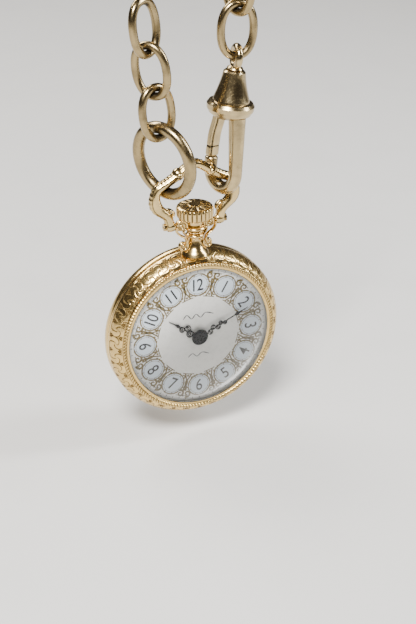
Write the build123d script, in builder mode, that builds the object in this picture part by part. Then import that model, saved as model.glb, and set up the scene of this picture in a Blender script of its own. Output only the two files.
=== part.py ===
from build123d import *
import os
from math import asin, atan2, cos, degrees, hypot, pi, radians, sin

os.makedirs("parts", exist_ok=True)

# A pendant fob watch on two strands of chain. Millimetres, +Z towards 12 o'clock and up the chain.
# The origin is the centre of the flat back; the dial faces -Y. "Depth" is distance in front of the back.

# ---- case ----
CASE_R = 15.0
DIAL_OPENING_R = 12.2
BACK_FLAT_R = 11.4
BACK_WALL = 0.6
BACK_RIM_DEPTH = 3.4
CASE_FRONT_DEPTH = 6.55
LIP_DEPTH = 6.9
CRYSTAL_TOP_DEPTH = 8.6
CRYSTAL_WALL = 0.7
CASE_BORE_R = 12.75
SNAP_R = 13.9
SNAP_GAP = 0.05
SEAM_GAP = 0.12

# ---- movement levels, as depths ----
BRIDGE_BACK = 1.95
BRIDGE_FRONT = 2.55
PLATE_BACK = 4.45
PLATE_FRONT = 5.84
DIAL_BACK = 5.88
DIAL_FRONT = 6.2
PLATE_R = 10.9
RING_R = 12.65
STEM_DEPTH = 5.15
PIVOT_R = 0.12
PIVOT_FIT = 0.02
JEWEL_R = 0.5
RUNNING_FIT = 0.03

# ---- winding and setting ----
STEM_R = 0.42
CROWN_R = 3.0
CROWN_LOW_Z = 21.0
CROWN_EDGE_H = 1.75
CROWN_TOP_Z = 23.3
CROWN_FLUTES = 24
CROWN_PULL = 0.8
NECK_TOP_Z = 20.8
NECK_R = 1.35
GASKET_R = 0.75
PINION_R = 0.66

# ---- going train: centres as (x, z), tooth counts and modules ----
BARREL_TEETH, CENTRE_LEAVES, BARREL_MODULE = 72, 12, 0.13
CENTRE_TEETH, THIRD_LEAVES, CENTRE_MODULE = 64, 8, 0.11
THIRD_TEETH, FOURTH_LEAVES, THIRD_MODULE = 60, 8, 0.10
FOURTH_TEETH, ESCAPE_LEAVES, FOURTH_MODULE = 60, 6, 0.09
ESCAPE_TEETH = 15
ESCAPE_R = 2.1
BARREL_ANGLE, THIRD_ANGLE, FOURTH_ANGLE, ESCAPE_ANGLE, PALLET_ANGLE = 40.0, -80.0, -150.0, 150.0, 100.0
PALLET_REACH = 2.42
BALANCE_REACH = 3.2
BALANCE_R = 3.4

# ---- motion work ----
CANNON_TEETH, MINUTE_TEETH, MOTION_MODULE = 12, 36, 0.10
MINUTE_LEAVES, HOUR_TEETH, HOUR_MODULE = 10, 40, 0.096
MINUTE_WHEEL_ANGLE = 100.0
SETTING_TEETH = 24

# ---- winding gears ----
CROWN_WHEEL_XZ = (0.0, 6.7)
CONTRATE_TEETH = 40
CROWN_WHEEL_TEETH, RATCHET_TEETH = 27, 44

# ---- bow and strands ----
BOW_PIVOT_X = 4.15
BOW_PIVOT_Z = 20.1
BOW_WIRE_R = 0.7
BOW_THICK = 2.0
PIN_R = 0.34
PIN_FIT = 0.04
RING_WIRE_R = 0.95
RING_HALF_W = 5.1
RING_HALF_H = 5.63
RING_YAW = -60.0
LINK_LENGTH = 9.4
LINK_WIDTH = 6.6
LINK_WIRE_R = 0.65
LINK_GAP = 0.06
LEFT_LEAN = -7.0
RIGHT_LEAN = 1.7
CLIP_LEAN = 7.06
CLIP_YAW = -71.0
CLIP_FOOT = (4.5, 25.4)
HOOK_R = 1.05
SHANK_TOP_R = 1.35
SHANK_TOP = (1.87, 11.62)
HOOK_HALF_W = 2.9
HOOK_TIP = 4.3
COLLAR_R = 3.75
GATE_R = 1.1
GATE_PIVOT = (-2.0, 12.7)
GATE_FIT = 0.03


def at_depth(d, turn=0.0):
    """A sketch plane facing the front, at a depth; turned clockwise as on a clock."""
    a = radians(turn)
    return Plane(origin=(0, -d, 0), x_dir=(cos(a), 0, -sin(a)), z_dir=(0, -1, 0))


def step_from(start, reach, angle):
    """The point at a reach and an angle (anticlockwise from +X) from another."""
    a = radians(angle)
    return (start[0] + reach * cos(a), start[1] + reach * sin(a))


def plate(xz, r, d0, d1, mode=Mode.ADD):
    """A disc about an axis along Y, between two depths."""
    with BuildSketch(at_depth(d0)) as outline:
        with Locations(xz):
            Circle(r)
    extrude(outline.sketch, amount=d1 - d0, mode=mode)


def slab(points, d0, d1, mode=Mode.ADD):
    """A flat plate with a straight-sided outline, between two depths."""
    with BuildSketch(at_depth(d0)) as outline:
        with BuildLine():
            Polyline(*points, close=True)
        make_face()
    extrude(outline.sketch, amount=d1 - d0, mode=mode)


def bar(a, b, half, d0, d1, mode=Mode.ADD):
    """A round-ended bar between two points, between two depths."""
    reach = hypot(b[0] - a[0], b[1] - a[1])
    middle = Location(((a[0] + b[0]) / 2, (a[1] + b[1]) / 2), (degrees(atan2(b[1] - a[1], b[0] - a[0]))))
    with BuildSketch(at_depth(d0)) as outline:
        with Locations(middle):
            SlotCenterToCenter(reach, 2 * half)
    extrude(outline.sketch, amount=d1 - d0, mode=mode)


def gear(xz, teeth, module, phase, d0, d1, mode=Mode.ADD):
    """A toothed disc: each tooth narrows from its root to its tip, and one is centred on the phase."""
    pitch_r, pitch = teeth * module / 2, 2 * pi / teeth
    root, tip = pitch_r - 1.2 * module, pitch_r + 0.75 * module
    points = []
    for k in range(teeth):
        a = radians(phase) + k * pitch
        for r, share in ((root, -0.31), (tip, -0.12), (tip, 0.12), (root, 0.31)):
            points.append((xz[0] + r * cos(a + share * pitch), xz[1] + r * sin(a + share * pitch)))
    slab(points, d0, d1, mode)


def pivots(xz, r, d0, d1, shoulder0, shoulder1):
    """An arbor with thin pivots at both ends."""
    plate(xz, PIVOT_R, d0, d1)
    plate(xz, r, shoulder0, shoulder1)


def facing(angle, teeth):
    """The phase that puts a gap where the meshing gear's tooth comes in."""
    return angle + 180 + 180 / teeth


PROFILE = Plane(origin=(0, 0, 0), x_dir=(1, 0, 0), z_dir=(0, 0, -1))

CENTRE = (0.0, 0.0)
BARREL = step_from(CENTRE, BARREL_MODULE * (BARREL_TEETH + CENTRE_LEAVES) / 2, BARREL_ANGLE)
THIRD = step_from(CENTRE, CENTRE_MODULE * (CENTRE_TEETH + THIRD_LEAVES) / 2, THIRD_ANGLE)
FOURTH = step_from(THIRD, THIRD_MODULE * (THIRD_TEETH + FOURTH_LEAVES) / 2, FOURTH_ANGLE)
ESCAPE = step_from(FOURTH, FOURTH_MODULE * (FOURTH_TEETH + ESCAPE_LEAVES) / 2, ESCAPE_ANGLE)
PALLET = step_from(ESCAPE, PALLET_REACH, PALLET_ANGLE)
BALANCE = step_from(PALLET, BALANCE_REACH, PALLET_ANGLE)
MINUTE_REACH = MOTION_MODULE * (CANNON_TEETH + MINUTE_TEETH) / 2
MINUTE = step_from(CENTRE, MINUTE_REACH, MINUTE_WHEEL_ANGLE)
SETTING = step_from(MINUTE, MOTION_MODULE * (MINUTE_TEETH + SETTING_TEETH) / 2, 88.0)
RATCHET_REACH = hypot(BARREL[0] - CROWN_WHEEL_XZ[0], BARREL[1] - CROWN_WHEEL_XZ[1])
RATCHET_ANGLE = degrees(atan2(BARREL[1] - CROWN_WHEEL_XZ[1], BARREL[0] - CROWN_WHEEL_XZ[0]))
RATCHET_MODULE = 2 * RATCHET_REACH / (CROWN_WHEEL_TEETH + RATCHET_TEETH)
SUNK_PIVOTS = (CENTRE, THIRD, FOURTH, ESCAPE)
BARREL_PADS = ((-2.3, 9.5), (2.5, 9.4), (9.3, -2.6))
TRAIN_PADS = ((5.7, -8.0), (-5.2, -8.15), (4.75, -2.75))
COCK_PADS = ((-9.15, 4.3), (-7.85, 6.45))
PALLET_PADS = ((-7.6, -2.6), (-2.95, -0.95))
SETTING_LEVER_PIVOT = (-2.9, 9.5)
YOKE_PIVOT = (-3.5, 7.1)
RING_SCREWS = ((-10.6, -3.6), (10.3, 4.8))

# ---- back cover: a snap-on cup with a flat back and a full rounded rim ----
with BuildPart() as back_cover:
    with BuildSketch(PROFILE):
        with BuildLine():
            Line((0, 0), (BACK_FLAT_R, 0))
            Spline((BACK_FLAT_R, 0), (13.6, 0.62), (CASE_R, 2.3), tangents=((1, 0), (0, 1)))
            Line((CASE_R, 2.3), (CASE_R, BACK_RIM_DEPTH - 0.25))
            Line((CASE_R, BACK_RIM_DEPTH - 0.25), (CASE_R - 0.25, BACK_RIM_DEPTH))
            Line((CASE_R - 0.25, BACK_RIM_DEPTH), (SNAP_R + SNAP_GAP, BACK_RIM_DEPTH))
            Line((SNAP_R + SNAP_GAP, BACK_RIM_DEPTH), (SNAP_R + SNAP_GAP, 2.3))
            Spline((SNAP_R + SNAP_GAP, 2.3), (13.1, 1.15), (BACK_FLAT_R, BACK_WALL), tangents=((0, -1), (-1, 0)))
            Line((BACK_FLAT_R, BACK_WALL), (0, BACK_WALL))
            Line((0, BACK_WALL), (0, 0))
        make_face()
    revolve(axis=Axis.Y)
back_cover.part.label = "back_cover"
export_step(back_cover.part, "parts/back_cover.step")

# ---- case middle: the body of the case, with a convex front band and a stem hole at the top ----
with BuildPart() as case_middle:
    with BuildSketch(PROFILE):
        with BuildLine():
            Line((CASE_BORE_R, 2.45), (SNAP_R, 2.45))
            Line((SNAP_R, 2.45), (SNAP_R, BACK_RIM_DEPTH + SEAM_GAP))
            Line((SNAP_R, BACK_RIM_DEPTH + SEAM_GAP), (CASE_R - 0.3, BACK_RIM_DEPTH + SEAM_GAP))
            Line((CASE_R - 0.3, BACK_RIM_DEPTH + SEAM_GAP), (CASE_R, 3.85))
            Line((CASE_R, 3.85), (CASE_R, 4.3))
            Spline((CASE_R, 4.3), (14.35, 5.75), (13.4, CASE_FRONT_DEPTH), tangents=((0, 1), (-1, 0.5)))
            Line((13.4, CASE_FRONT_DEPTH), (13.4, 5.9))
            Line((13.4, 5.9), (CASE_BORE_R, 5.9))
            Line((CASE_BORE_R, 5.9), (CASE_BORE_R, 2.45))
        make_face()
    revolve(axis=Axis.Y)
    with BuildSketch(Plane(origin=(0, -STEM_DEPTH, CASE_BORE_R - 0.5), x_dir=(1, 0, 0), z_dir=(0, 0, 1))):
        Circle(0.7)
    extrude(amount=3.5, mode=Mode.SUBTRACT)
case_middle.part.label = "case_middle"
export_step(case_middle.part, "parts/case_middle.step")

# ---- bezel: a snap-in ring with a rounded rope bead, holding the crystal ----
with BuildPart() as bezel:
    with BuildSketch(PROFILE):
        with BuildLine():
            Line((CASE_BORE_R, 5.92), (13.38, 5.92))
            Line((13.38, 5.92), (13.38, 6.6))
            ThreePointArc((13.38, 6.6), (13.05, LIP_DEPTH + 0.08), (12.72, 6.85))
            Line((12.72, 6.85), (DIAL_OPENING_R + 0.06, 6.74))
            Line((DIAL_OPENING_R + 0.06, 6.74), (DIAL_OPENING_R + 0.06, 6.68))
            Line((DIAL_OPENING_R + 0.06, 6.68), (CASE_BORE_R, 6.68))
            Line((CASE_BORE_R, 6.68), (CASE_BORE_R, 5.92))
        make_face()
    revolve(axis=Axis.Y)
bezel.part.label = "bezel"
export_step(bezel.part, "parts/bezel.step")

# ---- crystal: a domed glass with a flange under the bezel lip ----
with BuildPart() as crystal:
    with BuildSketch(PROFILE):
        with BuildLine():
            Line((DIAL_OPENING_R - 0.7, 6.28), (CASE_BORE_R - 0.04, 6.28))
            Line((CASE_BORE_R - 0.04, 6.28), (CASE_BORE_R - 0.04, 6.64))
            Line((CASE_BORE_R - 0.04, 6.64), (DIAL_OPENING_R, 6.64))
            Line((DIAL_OPENING_R, 6.64), (DIAL_OPENING_R, 6.8))
            Spline((DIAL_OPENING_R, 6.8), (7.5, 8.1), (0, CRYSTAL_TOP_DEPTH), tangents=((-1, 0.75), (-1, 0)))
            Line((0, CRYSTAL_TOP_DEPTH), (0, CRYSTAL_TOP_DEPTH - CRYSTAL_WALL))
            Spline(
                (0, CRYSTAL_TOP_DEPTH - CRYSTAL_WALL), (7.2, 7.42), (DIAL_OPENING_R - 0.7, 6.5),
                tangents=((1, 0), (1, -0.7)),
            )
            Line((DIAL_OPENING_R - 0.7, 6.5), (DIAL_OPENING_R - 0.7, 6.28))
        make_face()
    revolve(axis=Axis.Y)
crystal.part.label = "crystal"
export_step(crystal.part, "parts/crystal.step")

# ---- pendant neck: a bored column with a collar, a bead and two pairs of volutes ----
NECK_PROFILE = Plane(origin=(0, -STEM_DEPTH, 0), x_dir=(1, 0, 0), z_dir=(0, -1, 0))
with BuildPart() as pendant_neck:
    with BuildSketch(NECK_PROFILE):
        with BuildLine():
            Line((0.62, 14.35), (2.3, 14.35))
            Line((2.3, 14.35), (2.1, 15.25))
            Spline((2.1, 15.25), (1.3, 16.1), (1.05, 17.2))
            Line((1.05, 17.2), (1.05, 17.75))
            ThreePointArc((1.05, 17.75), (1.5, 18.05), (1.05, 18.35))
            Line((1.05, 18.35), (1.05, 19.0))
            ThreePointArc((1.05, 19.0), (1.7, 19.35), (NECK_R, 19.75))
            Line((NECK_R, 19.75), (NECK_R, NECK_TOP_Z))
            Line((NECK_R, NECK_TOP_Z), (GASKET_R + RUNNING_FIT, NECK_TOP_Z))
            Line((GASKET_R + RUNNING_FIT, NECK_TOP_Z), (GASKET_R + RUNNING_FIT, 18.6))
            Line((GASKET_R + RUNNING_FIT, 18.6), (0.62, 18.6))
            Line((0.62, 18.6), (0.62, 14.35))
        make_face()
    revolve(axis=Axis(origin=(0, -STEM_DEPTH, 0), direction=(0, 0, 1)))
    for side in (-1, 1):
        with BuildSketch(at_depth(STEM_DEPTH - 0.75)):
            with Locations((side * 2.35, 19.85)):
                Circle(1.05)
            with Locations((side * 2.1, 16.3)):
                Circle(0.9)
        extrude(amount=1.5)
        with BuildSketch(at_depth(STEM_DEPTH - 0.5)):
            with BuildLine():
                Polyline(
                    (side * 1.0, 16.9), (side * 1.5, 17.0), (side * 1.9, 18.6), (side * 2.2, 19.2),
                    (side * 1.4, 19.6), (side * 1.3, 18.4), close=True,
                )
            make_face()
        extrude(amount=1.0)
    plate(CENTRE, CASE_R + 0.01, 0, 10, Mode.SUBTRACT)
    with BuildSketch(Plane(origin=(0, -STEM_DEPTH, 13.3), x_dir=(1, 0, 0), z_dir=(0, 0, 1))):
        Circle(0.7)
    extrude(amount=3.0)
    with BuildSketch(Plane(origin=(0, -STEM_DEPTH, 13), x_dir=(1, 0, 0), z_dir=(0, 0, 1))):
        Circle(STEM_R + 0.1)
    extrude(amount=6, mode=Mode.SUBTRACT)
    with BuildSketch(Plane(origin=(0, -STEM_DEPTH, 18.6), x_dir=(1, 0, 0), z_dir=(0, 0, 1))):
        Circle(GASKET_R + RUNNING_FIT)
    extrude(amount=3, mode=Mode.SUBTRACT)
    with BuildSketch(Plane(origin=(-2.0, -STEM_DEPTH, BOW_PIVOT_Z), x_dir=(0, 1, 0), z_dir=(-1, 0, 0))):
        Circle(PIN_R)
    extrude(amount=2.5, mode=Mode.SUBTRACT)
    with BuildSketch(Plane(origin=(2.0, -STEM_DEPTH, BOW_PIVOT_Z), x_dir=(0, 1, 0), z_dir=(1, 0, 0))):
        Circle(PIN_R)
    extrude(amount=2.5, mode=Mode.SUBTRACT)
pendant_neck.part.label = "pendant_neck"
export_step(pendant_neck.part, "parts/pendant_neck.step")

# ---- bow: an arch with a C-shaped ear on each side, pivoting on the pendant pins ----
BOW_PATH = ((4.3, 20.5), (4.75, 21.9), (6.35, 23.5), (6.75, 25.2), (6.2, 26.75), (4.6, 27.6), (2.7, 28.7))
BOW_TOP_Z = 30.2
with BuildPart() as bow:
    with BuildLine(NECK_PROFILE) as bow_line:
        Spline(*BOW_PATH, (0, BOW_TOP_Z), *[(-x, z) for x, z in reversed(BOW_PATH)])
    with BuildSketch(Plane(origin=bow_line.line @ 0, x_dir=(0, 1, 0), z_dir=bow_line.line % 0)):
        Ellipse(BOW_THICK / 2, BOW_WIRE_R)
    sweep(path=bow_line.line)
    for side in (-1, 1):
        with Locations(Location((side * 2.75, -STEM_DEPTH, 28.75), (35, 20, 0))):
            Sphere(1.05)
        with BuildSketch(Plane(origin=(side * 3.5, -STEM_DEPTH, BOW_PIVOT_Z), x_dir=(0, 1, 0), z_dir=(side, 0, 0))):
            Circle(0.85)
        extrude(amount=1.45)
    with BuildSketch(Plane(origin=(-6, -STEM_DEPTH, BOW_PIVOT_Z), x_dir=(0, 1, 0), z_dir=(1, 0, 0))):
        Circle(PIN_R + PIN_FIT)
    extrude(amount=12, mode=Mode.SUBTRACT)
bow.part.label = "bow"
export_step(bow.part, "parts/bow.step")

# ---- bow pivot pins: headed screws through the bow's feet into the neck ----
with BuildPart() as bow_pivot_pins:
    for side in (-1, 1):
        with BuildSketch(Plane(origin=(side * 2.02, -STEM_DEPTH, BOW_PIVOT_Z), x_dir=(0, 1, 0), z_dir=(side, 0, 0))):
            Circle(PIN_R)
        extrude(amount=3.1)
        with BuildSketch(Plane(origin=(side * 5.06, -STEM_DEPTH, BOW_PIVOT_Z), x_dir=(0, 1, 0), z_dir=(side, 0, 0))):
            Circle(0.6)
            Rectangle(1.3, 0.16, mode=Mode.SUBTRACT)
        extrude(amount=0.3)
bow_pivot_pins.part.label = "bow_pivot_pins"
export_step(bow_pivot_pins.part, "parts/bow_pivot_pins.step")

# ---- crown: a fluted knob with a domed top and a raised centre disc ----
STEM_AXIS = Axis(origin=(0, -STEM_DEPTH, 0), direction=(0, 0, 1))
with BuildPart() as crown:
    with BuildSketch(NECK_PROFILE):
        with BuildLine():
            Line((0, CROWN_LOW_Z + 0.55), (STEM_R, CROWN_LOW_Z + 0.55))
            Line((STEM_R, CROWN_LOW_Z + 0.55), (STEM_R, CROWN_LOW_Z))
            Line((STEM_R, CROWN_LOW_Z), (CROWN_R - 0.5, CROWN_LOW_Z))
            Line((CROWN_R - 0.5, CROWN_LOW_Z), (CROWN_R, CROWN_LOW_Z + 0.35))
            Line((CROWN_R, CROWN_LOW_Z + 0.35), (CROWN_R, CROWN_LOW_Z + CROWN_EDGE_H))
            Spline(
                (CROWN_R, CROWN_LOW_Z + CROWN_EDGE_H), (2.1, CROWN_TOP_Z - 0.16), (0.95, CROWN_TOP_Z - 0.08),
                tangents=((-0.5, 1), (-1, 0.05)),
            )
            Line((0.95, CROWN_TOP_Z - 0.08), (0.9, CROWN_TOP_Z))
            Line((0.9, CROWN_TOP_Z), (0, CROWN_TOP_Z))
            Line((0, CROWN_TOP_Z), (0, CROWN_LOW_Z + 0.55))
        make_face()
    revolve(axis=STEM_AXIS)
    with BuildSketch(Plane(origin=(0, -STEM_DEPTH, CROWN_LOW_Z - 0.1), x_dir=(1, 0, 0), z_dir=(0, 0, 1))):
        with PolarLocations(CROWN_R + 0.12, CROWN_FLUTES):
            Circle(0.26)
    extrude(amount=CROWN_EDGE_H + 0.25, mode=Mode.SUBTRACT)
crown.part.label = "crown"
export_step(crown.part, "parts/crown.step")

# ---- winding stem: one shaft from the crown to the keyless works, with a groove for the setting lever ----
with BuildPart() as winding_stem:
    with BuildSketch(NECK_PROFILE):
        with BuildLine():
            Polyline(
                (0, 6.9), (0.3, 6.9), (0.3, 9.75), (STEM_R, 9.75), (STEM_R, 9.95), (0.26, 9.95),
                (0.26, 10.35), (STEM_R, 10.35), (STEM_R, CROWN_LOW_Z + 0.55), (0, CROWN_LOW_Z + 0.55), close=True,
            )
        make_face()
    revolve(axis=STEM_AXIS)
winding_stem.part.label = "winding_stem"
export_step(winding_stem.part, "parts/winding_stem.step")

# ---- crown gasket: a sleeve that seals the stem and slides with it ----
with BuildPart() as crown_gasket:
    with BuildSketch(Plane(origin=(0, -STEM_DEPTH, 18.7), x_dir=(1, 0, 0), z_dir=(0, 0, 1))):
        Circle(GASKET_R)
        Circle(STEM_R + RUNNING_FIT, mode=Mode.SUBTRACT)
    extrude(amount=1.2)
crown_gasket.part.label = "crown_gasket"
export_step(crown_gasket.part, "parts/crown_gasket.step")

# ---- movement ring: fills the space between the plate and the case ----
with BuildPart() as movement_ring:
    plate(CENTRE, RING_R, 2.5, DIAL_BACK)
    plate(CENTRE, PLATE_R + 0.03, 2.5, DIAL_BACK, Mode.SUBTRACT)
    with BuildSketch(Plane(origin=(0, -STEM_DEPTH, 10), x_dir=(1, 0, 0), z_dir=(0, 0, 1))):
        Circle(STEM_R + 0.1)
    extrude(amount=4, mode=Mode.SUBTRACT)
    for spot in RING_SCREWS:
        reach = (PLATE_R + 0.75) / hypot(*spot)
        plate((spot[0] * reach, spot[1] * reach), 0.3, 2.4, 3.7, Mode.SUBTRACT)
movement_ring.part.label = "movement_ring"
export_step(movement_ring.part, "parts/movement_ring.step")

# ---- case screws: slotted heads that clamp the ring ----
with BuildPart() as case_screws:
    for spot in RING_SCREWS:
        reach = (PLATE_R + 0.75) / hypot(*spot)
        place = (spot[0] * reach, spot[1] * reach)
        plate(place, 0.3, 2.5, 3.6)
        plate(place, 0.7, 2.15, 2.49)
        slab([(place[0] + dx, place[1] + dz) for dx, dz in ((-0.8, -0.08), (0.8, -0.08), (0.8, 0.08), (-0.8, 0.08))],
             2.1, 2.27, Mode.SUBTRACT)
        plate(place, 0.3, 2.45, 2.52)
case_screws.part.label = "case_screws"
export_step(case_screws.part, "parts/case_screws.step")

# ---- mainplate: carries the train on its back and the motion work and keyless works in front pockets ----
with BuildPart() as mainplate:
    plate(CENTRE, PLATE_R, PLATE_BACK, PLATE_FRONT)
    plate(CENTRE, 2.45, 5.0, PLATE_FRONT, Mode.SUBTRACT)
    plate(MINUTE, 2.1, 5.0, PLATE_FRONT, Mode.SUBTRACT)
    plate(SETTING, 1.5, 5.0, PLATE_FRONT, Mode.SUBTRACT)
    plate(CROWN_WHEEL_XZ, 2.45, PLATE_BACK, 4.62, Mode.SUBTRACT)
    slab(((-4.4, 5.4), (-1.2, 5.0), (0.75, 6.2), (0.75, 9.7), (-0.1, 11.1), (-1.6, 11.1), (-3.6, 10.2), (-4.4, 8.6)),
         4.95, PLATE_FRONT, Mode.SUBTRACT)
    with BuildSketch(Plane(origin=(0, -STEM_DEPTH, 6.6), x_dir=(1, 0, 0), z_dir=(0, 0, 1))):
        Circle(PINION_R + 0.08)
    extrude(amount=3.1, mode=Mode.SUBTRACT)
    with BuildSketch(Plane(origin=(0, -STEM_DEPTH, 6.6), x_dir=(1, 0, 0), z_dir=(0, 0, 1))):
        Circle(STEM_R + RUNNING_FIT)
    extrude(amount=5, mode=Mode.SUBTRACT)
    for xz in SUNK_PIVOTS + (PALLET, BALANCE, BARREL):
        plate(xz, JEWEL_R, PLATE_BACK, PLATE_FRONT, Mode.SUBTRACT)
    for xz in (MINUTE, SETTING):
        plate(xz, 0.25 + RUNNING_FIT, 4.75, 5.1, Mode.SUBTRACT)
    for xz in (SETTING_LEVER_PIVOT, YOKE_PIVOT):
        plate(xz, 0.2 + RUNNING_FIT, 4.75, 5.1, Mode.SUBTRACT)
mainplate.part.label = "mainplate"
export_step(mainplate.part, "parts/mainplate.step")

# ---- bridges: finger plates on pads that carry the back pivots ----
with BuildPart() as barrel_bridge:
    with BuildSketch(at_depth(BRIDGE_BACK)):
        with BuildLine():
            Polyline((-3.6, 5.3), (-3.6, 12), (12, 12), (12, -3.6), (8.0, -3.6), (5.6, 0.4), (2.1, 1.6), (1.2, 4.6),
                     (-2.4, 4.0), close=True)
        make_face()
        Circle(10.75, mode=Mode.INTERSECT)
    extrude(amount=BRIDGE_FRONT - BRIDGE_BACK)
    for xz in BARREL_PADS:
        plate(xz, 0.8, BRIDGE_FRONT, PLATE_BACK)
        plate(xz, 0.3, BRIDGE_BACK, PLATE_BACK, Mode.SUBTRACT)
    plate(BARREL, 0.5, BRIDGE_BACK, BRIDGE_FRONT, Mode.SUBTRACT)
    plate(CROWN_WHEEL_XZ, 0.45, BRIDGE_BACK, BRIDGE_FRONT, Mode.SUBTRACT)
barrel_bridge.part.label = "barrel_bridge"
export_step(barrel_bridge.part, "parts/barrel_bridge.step")

with BuildPart() as train_bridge:
    with BuildSketch(at_depth(BRIDGE_BACK)):
        with BuildLine():
            Polyline((-7.5, -4.2), (-3.6, -2.4), (-2.0, 1.2), (0.6, 2.2), (1.9, 1.3), (5.3, 0.1), (7.6, -3.9), (12, -3.9),
                     (12, -12), (-12, -12), close=True)
        make_face()
        Circle(10.75, mode=Mode.INTERSECT)
    extrude(amount=BRIDGE_FRONT - BRIDGE_BACK)
    for xz in TRAIN_PADS:
        plate(xz, 0.75, BRIDGE_FRONT, PLATE_BACK)
        plate(xz, 0.3, BRIDGE_BACK, PLATE_BACK, Mode.SUBTRACT)
    for xz in SUNK_PIVOTS:
        plate(xz, JEWEL_R, BRIDGE_BACK, BRIDGE_FRONT, Mode.SUBTRACT)
train_bridge.part.label = "train_bridge"
export_step(train_bridge.part, "parts/train_bridge.step")

with BuildPart() as balance_cock:
    bar(BALANCE, (-7.6, 5.1), 1.1, BRIDGE_BACK, BRIDGE_FRONT)
    slab(((-10.1, 3.5), (-7.2, 5.2), (-6.6, 7.6), (-7.8, 7.2), (-10.0, 4.4)), BRIDGE_BACK, BRIDGE_FRONT)
    for xz in COCK_PADS:
        plate(xz, 0.78, BRIDGE_BACK, PLATE_BACK)
        plate(xz, 0.3, BRIDGE_BACK, PLATE_BACK, Mode.SUBTRACT)
    plate(BALANCE, JEWEL_R, BRIDGE_BACK, BRIDGE_FRONT, Mode.SUBTRACT)
balance_cock.part.label = "balance_cock"
export_step(balance_cock.part, "parts/balance_cock.step")

with BuildPart() as pallet_cock:
    bar(PALLET_PADS[0], PALLET_PADS[1], 0.5, 3.72, 3.92)
    for xz in PALLET_PADS:
        plate(xz, 0.45, 3.92, PLATE_BACK)
        plate(xz, 0.2, 3.72, PLATE_BACK, Mode.SUBTRACT)
    plate(PALLET, PIVOT_R + PIVOT_FIT, 3.72, 3.92, Mode.SUBTRACT)
pallet_cock.part.label = "pallet_cock"
export_step(pallet_cock.part, "parts/pallet_cock.step")

# ---- bridge screws and pallet cock screws, slotted ----
with BuildPart() as bridge_screws:
    for xz in BARREL_PADS + TRAIN_PADS + COCK_PADS:
        plate(xz, 0.3, BRIDGE_BACK, PLATE_BACK - 0.02)
        plate(xz, 0.62, BRIDGE_BACK - 0.3, BRIDGE_BACK)
        slab([(xz[0] + dx, xz[1] + dz) for dx, dz in ((-0.7, -0.07), (0.7, -0.07), (0.7, 0.07), (-0.7, 0.07))],
             BRIDGE_BACK - 0.31, BRIDGE_BACK - 0.16, Mode.SUBTRACT)
    for xz in PALLET_PADS:
        plate(xz, 0.2, 3.72, PLATE_BACK - 0.02)
        plate(xz, 0.36, 3.55, 3.72)
bridge_screws.part.label = "bridge_screws"
export_step(bridge_screws.part, "parts/bridge_screws.step")

# ---- jewels: pressed bearings in the plate and the bridges ----
with BuildPart() as jewels:
    for xz, hole in zip(SUNK_PIVOTS + (PALLET, BALANCE), (0.26, 0.12, 0.12, 0.12, 0.12, 0.12)):
        plate(xz, JEWEL_R, 4.55, 4.95)
        plate(xz, hole + PIVOT_FIT, 4.55, 4.95, Mode.SUBTRACT)
    for xz in SUNK_PIVOTS + (BALANCE,):
        plate(xz, JEWEL_R, 2.1, 2.45)
        plate(xz, PIVOT_R + PIVOT_FIT, 2.1, 2.45, Mode.SUBTRACT)
jewels.part.label = "jewels"
export_step(jewels.part, "parts/jewels.step")

# ---- mainspring barrel: toothed drum, lid, spring, arbor and ratchet ----
with BuildPart() as barrel_drum:
    gear(BARREL, BARREL_TEETH, BARREL_MODULE, BARREL_ANGLE + 180, 3.95, 4.15)
    plate(BARREL, 4.3, 3.25, 4.15)
    plate(BARREL, 4.1, 3.25, 4.0, Mode.SUBTRACT)
    plate(BARREL, 0.63, 4.0, 4.15, Mode.SUBTRACT)
barrel_drum.part.label = "barrel_drum"
export_step(barrel_drum.part, "parts/barrel_drum.step")

with BuildPart() as barrel_lid:
    plate(BARREL, 4.3, 3.1, 3.24)
    plate(BARREL, 0.63, 3.1, 3.24, Mode.SUBTRACT)
barrel_lid.part.label = "barrel_lid"
export_step(barrel_lid.part, "parts/barrel_lid.step")

SPRING_TURNS = 5
with BuildPart() as mainspring:
    for k in range(SPRING_TURNS):
        plate(BARREL, 3.98 - 0.3 * k, 3.35, 3.9)
        plate(BARREL, 3.86 - 0.3 * k, 3.35, 3.9, Mode.SUBTRACT)
    for k in range(SPRING_TURNS - 1):
        bar(step_from(BARREL, 3.93 - 0.3 * k, 90 * k), step_from(BARREL, 3.6 - 0.3 * k, 90 * k), 0.05, 3.35, 3.9)
mainspring.part.label = "mainspring"
export_step(mainspring.part, "parts/mainspring.step")

with BuildPart() as barrel_arbor:
    plate(BARREL, 0.45, 1.72, 4.4)
    plate(BARREL, 0.95, 3.35, 3.9)
    plate(BARREL, JEWEL_R - RUNNING_FIT, 4.4, 4.9)
barrel_arbor.part.label = "barrel_arbor"
export_step(barrel_arbor.part, "parts/barrel_arbor.step")

with BuildPart() as ratchet_wheel:
    gear(BARREL, RATCHET_TEETH, RATCHET_MODULE, facing(RATCHET_ANGLE, RATCHET_TEETH), 1.5, 1.72)
    plate(BARREL, 0.8, 1.3, 1.5)
ratchet_wheel.part.label = "ratchet_wheel"
export_step(ratchet_wheel.part, "parts/ratchet_wheel.step")

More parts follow.
